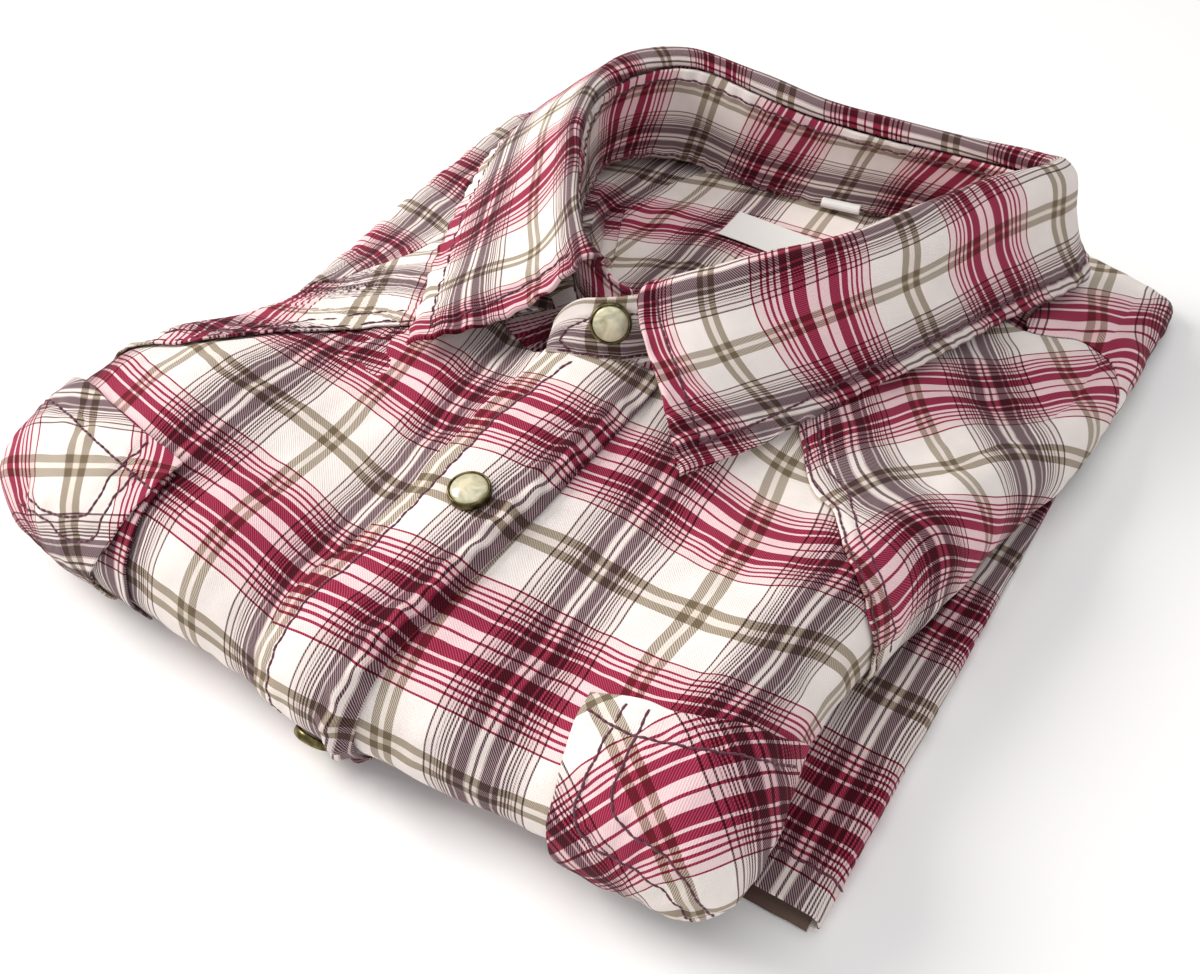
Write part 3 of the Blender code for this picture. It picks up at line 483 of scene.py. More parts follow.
CHARTS = {
    "front_left": Chart((
        (15, 62, -1, 3), (41.8, 64, 0, 3), (67, 60, 1, 3), (15, 32, -1, 2), (28, 36, -0.5, 2),
        (41.8, 35.3, 0, 2), (55, 32.8, 0.5, 2), (71.5, 30.5, 1, 2), (85, 34, 1.5, 2),
        (99, 42, 2, 2), (15, -1.5, -1, 1), (28, 2.3, -0.5, 1), (41.8, 1.2, 0, 1),
        (55, -0.5, 0.5, 1), (71.5, -0.9, 1, 1), (86, -1.6, 1.52, 1), (96, 5, 2, 1),
        (107, 12.5, 2.5, 1), (120, 18, 3, 1), (13, -36.5, -1, 0), (28, -35, -0.5, 0),
        (41.8, -33.2, 0, 0), (55, -33.3, 0.5, 0), (71, -37, 1, 0), (82, -36.5, 1.5, 0),
        (93, -32, 2, 0), (15, -72.8, -1, -1), (41.8, -70.5, 0, -1), (70, -69, 1, -1),
    )),
    "front_right": Chart((
        (-53.5, 4.5, 1, 1), (-40, 2, 1.5, 1), (-30, -1.5, 1.9, 1), (-65, 6, 0.58, 1),
        (-81, 5.3, 0, 1), (-92, 5, -0.4, 1), (-100, 7.5, -0.66, 1), (-110.5, 12, -1, 1),
        (-123, 16, -1.45, 1), (-53.5, 38, 1, 2), (-81, 39, 0, 2), (-110.5, 44, -1, 2),
        (-30, 33, 1.9, 2), (-53.5, -31.5, 1, 0), (-81, -29, 0, 0), (-110.5, -23, -1, 0),
        (-30, -35, 1.9, 0), (-53.5, -67, 1, -1), (-81, -64, 0, -1), (-30, -72, 1.9, -1),
    )),
    "placket": Chart((
        (-11, 33, -1, 2), (17.5, 33.5, 0, 2), (-14.5, -1.5, -1, 1), (13, -2, 0, 1),
        (-19.5, -36, -1, 0), (8, -37, 0, 0), (-25, -72.5, -1, -1), (2.5, -73, 0, -1),
        (-7, 62, -1, 3), (21, 62, 0, 3),
    )),
    "front_yoke_left": Chart((
        (102.1, 135, 0, 0), (83.6, 112.9, 1, 0), (105.7, 89.3, 1, 1), (118.6, 116.4, 0, 1),
        (88.6, 65, 2, 1), (72.9, 85, 2, 0), (121.7, 166.4, -1, 0), (111.4, 63.6, 2, 2),
        (118, 42, 2.6, 2.3), (127, 82, 1, 2),
    )),
    "front_yoke_right": Chart((
        (-93.5, 79.5, 0, 1), (-105.7, 100, -1, 1), (-79, 57, 1, 1.1), (-122, 68, 0, 0),
        (-101, 58.5, 0.5, 0.6), (-58, 75, 0, 2), (-68, 100, -1, 2), (-77, 150, -3, 2),
        (-112, 47, 1, 0.2),
    )),
    "sleeve_left_head": Chart((
        (119.5, 208, 1, 0), (113, 236.5, 1, 0.55), (131.5, 219.5, 1.48, 0),
        (105, 190, 0.52, 0.03), (112, 247, 1, 0.78), (92, 218, 0.35, 0.6),
    )),
    "sleeve_left_fold": Chart((
        (116, -9, 0, -2), (116, 33, 0, -1), (118, 69, 0, 0), (120, 103.6, 0, 1),
        (89, -9, -1, -2), (89, 33, -1, -1), (91, 69, -1, 0), (93, 103.6, -1, 1),
        (143, -9, 1, -2), (143, 33, 1, -1), (145, 69, 1, 0), (147, 103.6, 1, 1),
    )),
    "sleeve_right": Chart((
        (-117, 110, 0, 0), (-121.5, 141, 0, 1), (-125, 175, 0, 2), (-128, 209, 0, 3),
        (-129, 243, 0, 4), (-94.5, 123, 0.8, 1), (-98, 157, 0.8, 2), (-101, 191, 0.85, 3),
        (-93, 90, 0.8, 0), (-146, 150, -0.9, 1), (-147, 184, -0.85, 2), (-141, 118, -0.9, 0),
    )),
    "pocket_left": Chart((
        (90, -50, 0, 0), (117, -50, 1, 0), (90, -83, 0, 1), (117, -83, 1, 1),
    )),
    "pocket_right": Chart((
        (-81, -50, 0, 0), (-108, -50, 1, 0), (-81, -83, 0, 1), (-108, -83, 1, 1),
    )),
    "pocket_flap_left": Chart((
        (90.7, -55.7, 1, 0), (107.6, -34.4, 2, 0), (73.8, -77, 0, 0), (64.8, -36.5, 1, -1),
        (116.6, -76.3, 1, 1),
    )),
    "pocket_flap_right": Chart((
        (-102.9, -45.7, 1, 1), (-74, -36, 1, 2), (-134.4, -53, 1, 0), (-119.7, -24.4, 0, 1),
        (-95, -70, 2, 1),
    )),
    "back_yoke": Chart((
        (16.4, 207, 1, 1), (-10, 205, 0, 1), (-30, 200, -1, 1), (16.4, 178, 1, 0),
        (-14, 176, 0, 0), (-36, 172, -1, 0), (-18, 152, 0, -1), (16, 150, 1, -1),
        (43.6, 178, 2, 0), (-42, 142, -1, -1), (16, 240, 1, 2), (71, 180, 3, 0),
    )),
    # The collar's charts are read along its length and up its height.
    "collar_stand": Chart((
        (0.36, 0.28, 0, -1), (0.37, 0.83, 1, -1), (0.42, 0.26, 0, 0), (0.44, 0.84, 1, 0),
        (0.482, 0.3, 0, 1), (0.495, 0.9, 1, 1), (0.525, 0.32, 0, 2), (0.545, 0.92, 1, 2),
        (0.943, 0.3, 0, 7), (0.943, 1.0, 1, 7),
    )),
    "collar_fall": Chart((
        (0.700, -0.02, 0, -1), (0.7073, 0.4525, 1, -1), (0.701, 0.962, 2, -1),
        (0.754, 0.05, 0, 0), (0.7593, 0.475, 1, 0), (0.7607, 0.965, 2, 0),
        (0.8017, 0.12, 0, 1), (0.8183, 0.503, 1, 1), (0.8207, 0.97, 2, 1),
        (0.8617, 0.128, 0, 2), (0.885, 0.546, 1, 2), (0.8867, 0.98, 2, 2),
        (0.9417, 0.128, 0, 3), (0.9467, 0.535, 1, 3), (0.934, 0.9, 2, 3),
        (1.0, 0.128, 0, 4), (1.0, 0.522, 1, 4), (0.98, 0.85, 2, 4),
        (0.0, 0.143, 0, -12), (0.004, 0.45, 1, -12), (0.012, 0.75, 2, -12),
        (0.076, 0.13, 0, -11), (0.058, 0.378, 1, -11), (0.067, 0.71, 2, -11),
        (0.134, 0.126, 0, -10), (0.1105, 0.37, 1, -10), (0.105, 0.68, 2, -10),
        (0.18, 0.1, 0, -9), (0.163, 0.38, 1, -9), (0.167, 0.72, 2, -9),
        (0.283, 0.05, 0, -7), (0.283, 0.95, 2, -7), (0.411, 0.05, 0, -5),
        (0.411, 0.95, 2, -5), (0.55, 0.05, 0, -3), (0.55, 0.95, 2, -3),
    )),
}


# ------------------------------------------------------------------ finishes
def linear(colour: str) -> tuple[float, float, float, float]:
    """An sRGB hex value as linear colour with alpha.

    Args:
        colour: Hash and six hex digits.

    Returns:
        Red, green, blue and alpha.
    """
    parts = [int(colour[k : k + 2], 16) / 255 for k in (1, 3, 5)]
    red, green, blue = (c / 12.92 if c <= 0.04045 else ((c + 0.055) / 1.055) ** 2.4 for c in parts)
    return red, green, blue, 1.0


def feed(
    tree: bpy.types.NodeTree, node: bpy.types.Node, inputs: dict[int | str, object]
) -> None:
    """Gives each named socket its value, or the output that feeds it.

    Args:
        tree: The node's tree.
        node: The node.
        inputs: Value or output by socket.
    """
    for key, value in inputs.items():
        if isinstance(value, bpy.types.NodeSocket):
            tree.links.new(value, node.inputs[key])
        else:
            node.inputs[key].default_value = value


def add_node(
    tree: bpy.types.NodeTree, kind: str, inputs: dict[int | str, object] | None = None, **settings
) -> bpy.types.Node:
    """Adds a node with its settings and links.

    Args:
        tree: Node tree it goes in.
        kind: Blender's name of the node.
        inputs: Per socket, either the output that feeds it or its value.
        settings: Attributes of the node.

    Returns:
        The node.
    """
    node = tree.nodes.new(kind)
    for key, value in settings.items():
        setattr(node, key, value)
    feed(tree, node, inputs or {})
    return node


def new_material(name: str) -> tuple[bpy.types.Material, bpy.types.NodeTree, bpy.types.Node]:
    """An empty material with its tree and its Principled shader.

    Args:
        name: Its name.

    Returns:
        The material, its tree and its shader.
    """
    made = bpy.data.materials.new(name)
    made.use_nodes = True
    tree = made.node_tree
    return made, tree, tree.nodes["Principled BSDF"]


@dataclass(frozen=True)
class Stripe:
    """One dyed stretch of a group: from and to, in mm from the group's centre, and its dye."""

    low: float
    high: float
    dye: str


@dataclass(frozen=True)
class PlaidTwill:
    """Yarn-dyed cotton twill, brushed a little and washed: matt, with a faint sheen, and its
    stripes dotted where the other set of threads crosses on top."""

    name: str = "yarn_dyed_cotton_twill"
    ground: str = "#F2E8E1"
    burgundy: str = "#A23253"
    blush: str = "#FCE2EA"
    rose: str = "#FAEBEE"
    plum: str = "#68525B"
    heather: str = "#C3B8BB"
    mist: str = "#F2EFEE"
    olive: str = "#B0A899"
    straw: str = "#F4F2ED"
    rough: float = 0.88
    # The real diagonal repeats every 0.5 mm, too fine to show, so it is drawn at 0.8 mm.
    twill: float = 0.8
    warp: tuple[Stripe, ...] = (
        Stripe(0.0, 0.35, "plum"), Stripe(0.35, 1.6, "mist"), Stripe(1.6, 2.2, "heather"),
        Stripe(2.2, 5.2, "plum"), Stripe(5.2, 5.8, "heather"), Stripe(5.8, 7.2, "plum"),
        Stripe(7.2, 7.8, "mist"), Stripe(7.8, 8.4, "plum"), Stripe(8.4, 8.8, "mist"),
        Stripe(8.8, 9.3, "plum"), Stripe(9.3, 9.7, "mist"), Stripe(9.7, 10.2, "plum"),
        Stripe(10.2, 10.6, "mist"), Stripe(10.6, 11.0, "heather"), Stripe(11.0, 11.7, "mist"),
        Stripe(11.7, 12.2, "plum"), Stripe(12.2, 13.7, "mist"), Stripe(13.7, 14.2, "plum"),
        Stripe(24.1, 26.5, "olive"), Stripe(26.5, 27.25, "straw"),
    )
    weft: tuple[Stripe, ...] = (
        Stripe(0.0, 0.35, "burgundy"), Stripe(0.35, 3.2, "blush"),
        Stripe(3.2, 6.6, "burgundy"), Stripe(6.6, 7.4, "blush"),
        Stripe(7.4, 9.4, "burgundy"), Stripe(9.4, 10.4, "blush"),
        Stripe(10.4, 11.1, "burgundy"), Stripe(11.1, 12.2, "blush"),
        Stripe(12.2, 12.9, "burgundy"), Stripe(12.9, 14.0, "blush"),
        Stripe(14.0, 14.6, "burgundy"), Stripe(14.6, 16.9, "rose"),
        Stripe(16.9, 17.5, "burgundy"), Stripe(29.5, 32.2, "olive"),
        Stripe(32.2, 33.25, "straw"),
    )

    def stripes(
        self, tree: bpy.types.NodeTree, along: bpy.types.NodeSocket, half: float,
        group: tuple[Stripe, ...], face: bpy.types.NodeSocket,
    ) -> bpy.types.NodeSocket:
        """One set of threads as a tint, deeper where it lies on the face of the twill.

        Args:
            tree: The cloth's node tree.
            along: Coordinate across the stripes.
            half: Half of the repeat, in mm.
            group: Dyed stretches of that half.
            face: How much these threads show.

        Returns:
            The tint.
        """
        folded = add_node(tree, "ShaderNodeMath", {0: along, 1: half}, operation="PINGPONG")
        share = add_node(
            tree, "ShaderNodeMath", {0: folded.outputs[0], 1: half}, operation="DIVIDE"
        )
        ramp = add_node(tree, "ShaderNodeValToRGB", {0: share.outputs[0]})
        ramp.color_ramp.interpolation = "CONSTANT"
        undyed = (1, 1, 1, 1)
        marks = ramp.color_ramp.elements
        while len(marks) > 1:
            marks.remove(marks[-1])
        marks[0].position = 0.0
        marks[0].color = undyed
        reached = 0.0
        for stripe in group:
            if stripe.low > reached:
                marks.new(reached / half).color = undyed
            first = marks[0] if stripe.low == 0 else marks.new(stripe.low / half)
            first.color = linear(getattr(self, stripe.dye))
            reached = stripe.high
        return add_node(
            tree, "ShaderNodeGamma", {"Color": ramp.outputs["Color"], "Gamma": face}
        ).outputs[0]

    def material(self) -> bpy.types.Material:
        """Builds the cloth's material on the piece's own weave map.

        Returns:
            The material.
        """
        made, tree, shader = new_material(self.name)
        chart = add_node(tree, "ShaderNodeUVMap", uv_map="weave")
        scaled = add_node(
            tree, "ShaderNodeVectorMath", {0: chart.outputs[0], 1: (UV_MM, UV_MM, UV_MM)},
            operation="MULTIPLY",
        )
        # Washing leaves no stripe quite straight: each drifts by up to 0.9 mm to either side.
        drift = add_node(
            tree, "ShaderNodeTexNoise", {"Vector": scaled.outputs[0], "Scale": 0.045, "Detail": 1.5}
        )
        offset = add_node(
            tree, "ShaderNodeVectorMath",
            {0: drift.outputs["Color"], 1: (1.8, 1.8, 0.0), 2: scaled.outputs[0]},
            operation="MULTIPLY_ADD",
        )
        axes = add_node(tree, "ShaderNodeSeparateXYZ", {0: offset.outputs[0]})
        across, along = axes.outputs[0], axes.outputs[1]
        diagonal = add_node(tree, "ShaderNodeMath", {0: across, 1: along}, operation="ADD")
        pace = add_node(
            tree, "ShaderNodeMath", {0: diagonal.outputs[0], 1: math.tau / self.twill},
            operation="MULTIPLY",
        )
        rib = add_node(tree, "ShaderNodeMath", {0: pace.outputs[0]}, operation="SINE").outputs[0]
        fuzz = add_node(
            tree, "ShaderNodeTexNoise", {"Vector": scaled.outputs[0], "Scale": 1.7, "Detail": 3.0}
        )
        warp_face = add_node(
            tree, "ShaderNodeMapRange", {0: rib, 1: -1.0, 2: 1.0, 3: 0.35, 4: 1.6}
        )
        weft_face = add_node(
            tree, "ShaderNodeMapRange", {0: rib, 1: -1.0, 2: 1.0, 3: 1.4, 4: 0.7}
        )
        warp = self.stripes(tree, across, WARP_HALF, self.warp, warp_face.outputs[0])
        weft = self.stripes(tree, along, WEFT_HALF, self.weft, weft_face.outputs[0])
        crossed = add_node(
            tree, "ShaderNodeMix", {0: 1.0, 6: warp, 7: weft}, data_type="RGBA",
            blend_type="MULTIPLY",
        )
        # Yarns are never quite even, so the cream wanders a little.
        wander = add_node(
            tree, "ShaderNodeTexNoise", {"Vector": scaled.outputs[0], "Scale": 0.12, "Detail": 4.0}
        )
        shade = add_node(
            tree, "ShaderNodeMapRange", {0: wander.outputs[0], 1: 0.3, 2: 0.7, 3: 0.94, 4: 1.0}
        )
        base = add_node(
            tree, "ShaderNodeMix", {0: 1.0, 6: linear(self.ground), 7: shade.outputs[0]},
            data_type="RGBA", blend_type="MULTIPLY",
        )
        colour = add_node(
            tree, "ShaderNodeMix", {0: 1.0, 6: base.outputs[2], 7: crossed.outputs[2]},
            data_type="RGBA", blend_type="MULTIPLY",
        )
        height = add_node(
            tree, "ShaderNodeMath", {0: rib, 1: 0.35, 2: fuzz.outputs[0]}, operation="MULTIPLY_ADD"
        )
        bump = add_node(
            tree, "ShaderNodeBump",
            {"Height": height.outputs[0], "Strength": 0.55, "Distance": 0.00022},
        )
        feed(tree, shader, {
            "Base Color": colour.outputs[2], "Normal": bump.outputs[0], "Roughness": self.rough,
            "Sheen Weight": 0.04, "Sheen Roughness": 0.5, "Specular IOR Level": 0.12,
        })
        return made


@dataclass(frozen=True)
class SewingThread:
    """Spun polyester topstitching thread: matt, dark plum, slightly hairy."""

    name: str = "plum_sewing_thread"
    dye: str = "#451026"

    def material(self) -> bpy.types.Material:
        """Builds the thread's material.

        Returns:
            The material.
        """
        made, tree, shader = new_material(self.name)
        place = add_node(tree, "ShaderNodeTexCoord")
        lint = add_node(
            tree, "ShaderNodeTexNoise", {"Vector": place.outputs["Object"], "Scale": 900.0}
        )
        mix = add_node(
            tree, "ShaderNodeMix",
            {0: lint.outputs[0], 6: linear(self.dye), 7: linear("#632138")}, data_type="RGBA",
        )
        feed(tree, shader, {"Base Color": mix.outputs[2], "Roughness": 0.7, "Sheen Weight": 0.2})
        return made


@dataclass(frozen=True)
class AntiqueBrass:
    """Stamped brass with a dark olive antique finish, rubbed brighter in patches."""

    name: str = "antique_brass"
    bright: str = "#857A50"
    dull: str = "#3F3922"

    def material(self) -> bpy.types.Material:
        """Builds the ring's material.

        Returns:
            The material.
        """
        made, tree, shader = new_material(self.name)
        place = add_node(tree, "ShaderNodeTexCoord")
        blotch = add_node(
            tree, "ShaderNodeTexNoise",
            {"Vector": place.outputs["Object"], "Scale": 350.0, "Detail": 5.0},
        )
        spread = add_node(
            tree, "ShaderNodeMapRange", {0: blotch.outputs[0], 1: 0.35, 2: 0.65, 3: 0.0, 4: 1.0}
        )
        mix = add_node(
            tree, "ShaderNodeMix",
            {0: spread.outputs[0], 6: linear(self.dull), 7: linear(self.bright)}, data_type="RGBA",
        )
        rough = add_node(
            tree, "ShaderNodeMapRange", {0: blotch.outputs[0], 1: 0.3, 2: 0.7, 3: 0.42, 4: 0.28}
        )
        feed(tree, shader, {
            "Base Color": mix.outputs[2], "Roughness": rough.outputs[0], "Metallic": 1.0,
        })
        return made


@dataclass(frozen=True)
class PearlCap:
    """Pearlised acrylic: a glossy cream dome with soft clouds under its surface."""

    name: str = "pearl_acrylic"
    cream: str = "#D9D0AE"
    cloud: str = "#9C9A80"

    def material(self) -> bpy.types.Material:
        """Builds the cap's material.

        Returns:
            The material.
        """
        made, tree, shader = new_material(self.name)
        place = add_node(tree, "ShaderNodeTexCoord")
        cloud = add_node(
            tree, "ShaderNodeTexNoise",
            {"Vector": place.outputs["Object"], "Scale": 180.0, "Detail": 3.0, "Distortion": 1.2},
        )
        spread = add_node(
            tree, "ShaderNodeMapRange", {0: cloud.outputs[0], 1: 0.35, 2: 0.7, 3: 0.0, 4: 1.0}
        )
        mix = add_node(
            tree, "ShaderNodeMix",
            {0: spread.outputs[0], 6: linear(self.cream), 7: linear(self.cloud)},
            data_type="RGBA",
        )
        feed(tree, shader, {
            "Base Color": mix.outputs[2], "Roughness": 0.22, "Coat Weight": 0.6,
            "Coat Roughness": 0.08, "Subsurface Weight": 0.1, "Subsurface Scale": 0.002,
        })
        return made


@dataclass(frozen=True)
class LabelSatin:
    """White polyester satin ribbon, woven bare: close cross ribs and a soft gloss."""

    name: str = "white_satin_ribbon"
    white: str = "#EFEEEA"

    def material(self) -> bpy.types.Material:
        """Builds the ribbon's material on the piece's own weave map.

        Returns:
            The material.
        """
        made, tree, shader = new_material(self.name)
        chart = add_node(tree, "ShaderNodeUVMap", uv_map="weave")
        # Real ribs lie 0.15 mm apart, too fine to show, so they are drawn at 0.4 mm.
        rib = add_node(
            tree, "ShaderNodeTexWave", {"Vector": chart.outputs[0], "Scale": 40.0},
            bands_direction="Y",
        )
        tint = add_node(
            tree, "ShaderNodeMix", {0: rib.outputs[1], 6: linear("#E2E1DC"), 7: linear(self.white)},
            data_type="RGBA",
        )
        bump = add_node(
            tree, "ShaderNodeBump",
            {"Height": rib.outputs[1], "Strength": 0.2, "Distance": 0.0001},
        )
        feed(tree, shader, {
            "Base Color": tint.outputs[2], "Normal": bump.outputs[0], "Roughness": 0.45,
        })
        return made


@dataclass(frozen=True)
class PaleFloor:
    """Matt white paper sweep."""

    name: str = "white_paper"

    def material(self) -> bpy.types.Material:
        """Builds the floor's material.

        Returns:
            The material.
        """
        made, tree, shader = new_material(self.name)
        feed(tree, shader, {
            "Base Color": linear("#F6F5F3"), "Roughness": 0.9, "Specular IOR Level": 0.1,
        })
        return made


class Finish(Enum):
    """Names of the pieces' finishes."""

    CLOTH = "plaid_cloth"
    BRASS = "antique_brass"
    PEARL = "pearl"
    RIBBON = "label_ribbon"


@dataclass
class Wardrobe:
    """One material per finish, made once."""

    cloth: bpy.types.Material
    thread: bpy.types.Material
    brass: bpy.types.Material
    pearl: bpy.types.Material
    ribbon: bpy.types.Material

    @classmethod
    def make(cls) -> Wardrobe:
        """Builds every finish."""
        return cls(
            PlaidTwill().material(), SewingThread().material(), AntiqueBrass().material(),
            PearlCap().material(), LabelSatin().material(),
        )


# ------------------------------------------------------------------ meshes
def settle(name: str, bm: bmesh.types.BMesh, paint: bpy.types.Material) -> bpy.types.Object:
    """Turns a bmesh in shirt millimetres into a smooth object in metres at the origin.

    Args:
        name: Piece name.
        bm: The mesh, which is freed.
        paint: Material.

    Returns:
        The object.
    """
    bmesh.ops.recalc_face_normals(bm, faces=bm.faces)
    if bm.calc_volume(signed=True) < 0:
        bmesh.ops.reverse_faces(bm, faces=bm.faces)
    bmesh.ops.translate(bm, vec=Vector(-SHIFT), verts=bm.verts)
    bmesh.ops.scale(bm, vec=(MM, MM, MM), verts=bm.verts)
    mesh = bpy.data.meshes.new(name)
    bm.to_mesh(mesh)
    bm.free()
    mesh.materials.append(paint)
    mesh.shade_smooth()
    made = bpy.data.objects.new(name, mesh)
    bpy.context.scene.collection.objects.link(made)
    return made


def edge_lines(count: int, length: float, turn: float = 0.8) -> Array:
    """Grid lines from 0 to 1, with the first ones close together for a turned edge.

    Args:
        count: Cells between the turned edges.
        length: The side's length in mm.
        turn: Width of the turned edge in mm.

    Returns:
        The lines' places.
    """
    near = np.array([0.0, 0.25, 0.6]) * turn / length
    inner = np.linspace(turn / length, 1 - turn / length, count + 1)
    return np.concatenate([near, inner, 1 - near[::-1]])


def woven(
    name: str, cells: tuple[int, int], size: tuple[float, float], place: Place,
    weave: Callable[[Array, Array], Array], paint: bpy.types.Material, wall: float = WALL,
    turn: float = 0.8,
) -> bpy.types.Object:
    """A closed sheet of cloth with turned edges.

    Args:
        name: Piece name.
        cells: Cells across and along, between the turned edges.
        size: Width and length in mm, for the turned edges.
        place: Gives the point of (p, q) at a height above the cloth's underside.
        weave: Gives warp and weft coordinates in mm of (p, q).
        paint: Material.
        wall: Thickness.
        turn: Width of the turned edge in mm.

    Returns:
        The piece.
    """
    lines = [edge_lines(count, length, turn) for count, length in zip(cells, size)]
    cols, rows = len(lines[0]) - 1, len(lines[1]) - 1
    bm = bmesh.new()
    bmesh.ops.create_grid(bm, x_segments=cols, y_segments=rows, size=0.5)
    key = bm.verts.layers.int.new("key")
    for i, vert in enumerate(bm.verts):
        vert[key] = i
    spots = np.array([(vert.co.x, vert.co.y) for vert in bm.verts]) + 0.5
    p = lines[0][np.rint(spots[:, 0] * cols).astype(int)]
    q = lines[1][np.rint(spots[:, 1] * rows).astype(int)]
    inside = np.minimum(np.minimum(p, 1 - p) * size[0], np.minimum(q, 1 - q) * size[1])
    roll = 1 - np.clip(inside / turn, 0, 1)
    half = wall / 2 * (0.3 + 0.7 * np.sqrt(np.maximum(1 - roll**2, 0)))
    under, over = place(p, q, wall / 2 - half), place(p, q, wall / 2 + half)
    threads = weave(p, q) / UV_MM
    raised = bmesh.ops.extrude_face_region(bm, geom=bm.faces[:], use_keep_orig=True)
    twins = {item for item in raised["geom"] if isinstance(item, bmesh.types.BMVert)}
    for vert in bm.verts:
        vert.co = Vector(over[vert[key]] if vert in twins else under[vert[key]])
    made = settle(name, bm, paint)
    mesh = made.data
    keys = np.empty(len(mesh.vertices), dtype=np.int32)
    mesh.attributes["key"].data.foreach_get("value", keys)
    corners = np.empty(len(mesh.loops), dtype=np.int32)
    mesh.loops.foreach_get("vertex_index", corners)
    layer = mesh.uv_layers.new(name="weave")
    layer.uv.foreach_set("vector", threads[keys[corners]].astype(np.float32).ravel())
    mesh.attributes.remove(mesh.attributes["key"])
    return made


def half_area(piece: bpy.types.Object) -> float:
    """Half of a closed shell's surface, in square metres."""
    return sum(face.area for face in piece.data.polygons) / 2


def nearest(rows: Sequence[Array], a: Array, b: Array) -> tuple[Array, Array]:
    """Distance to the nearest of some polylines, and how far along it that is.

    Args:
        rows: Polylines of (a, b) points.
        a: First coordinate of the queries.
        b: Second coordinate of the queries.

    Returns:
        Distance and run, both in mm.
    """
    best, run = np.full(np.shape(a), 1e6), np.zeros(np.shape(a))
    for row in rows:
        gone = 0.0
        for (a0, b0), (a1, b1) in zip(row[:-1], row[1:]):
            long = math.hypot(a1 - a0, b1 - b0)
            t = np.clip(((a - a0) * (a1 - a0) + (b - b0) * (b1 - b0)) / max(long**2, 1e-9), 0, 1)
            away = np.hypot(a - a0 - t * (a1 - a0), b - b0 - t * (b1 - b0))
            run = np.where(away < best, gone + t * long, run)
            best = np.minimum(best, away)
            gone += long
    return best, run


def puckered(rows: Sequence[Array], a: Array, b: Array, seed: int, depth: float = 0.3) -> Array:
    """Relief that sewing gives a cloth: a groove under each row and puckers beside it.

    Args:
        rows: Sewn rows as polylines.
        a: First coordinate of the queries.
        b: Second coordinate of the queries.
        seed: Chooses how the puckers wander.
        depth: Size of the relief in mm.

    Returns:
        Height to add, in mm.
    """
    if not rows:
        return np.zeros(np.shape(a))
    away, run = nearest(rows, a, b)
    wander = 2.2 * waves(run, run * 0, seed, 40, 5)
    pucker = np.sin(run * math.tau / 7.5 + wander) * np.exp(-((away / 4.0) ** 2))
    return depth * (0.9 * pucker - 1.1 * np.exp(-((away / 1.3) ** 2)))


@dataclass
class Seamstress:
    """Sews rows of stitches, each a short bead of thread lying along its row."""

    thread: bpy.types.Material
    pitch: float = 2.45
    long: float = 3.2
    thick: float = 0.95
    proud: float = 0.08  # a bead's middle above the cloth

    def sew(self, name: str, paths: Sequence[tuple[Array, Array]]) -> bpy.types.Object:
        """Lays stitches along paths.

        Args:
            name: Piece name.
            paths: Per row, its points and the cloth's normals there.

        Returns:
            One piece that holds them all.
        """
        bm = bmesh.new()
        for points, normals in paths:
            run = run_along(points)
            for at in np.arange(self.pitch / 2, run[-1], self.pitch):
                ends = [
                    np.array([np.interp(spot, run, points[:, c]) for c in range(3)])
                    for spot in (at - self.long / 2, at, at + self.long / 2)
                ]
                up = np.array([np.interp(at, run, normals[:, c]) for c in range(3)])
                way = ends[2] - ends[0]
                way /= max(np.linalg.norm(way), 1e-9)
                side = np.cross(up, way)
                side /= max(np.linalg.norm(side), 1e-9)
                up = np.cross(way, side)
                turn = Matrix(
                    [
                        (*(axis * scale), 0.0)
                        for axis, scale in zip(
                            (way, side, up), (self.long / 2, self.thick / 2, self.thick / 2.6)
                        )
                    ]
                    + [(0, 0, 0, 1)]
                ).transposed()
                turn.translation = Vector(ends[1] + up * self.proud)
                bmesh.ops.create_icosphere(bm, subdivisions=1, radius=1.0, matrix=turn)
        return settle(name, bm, self.thread)


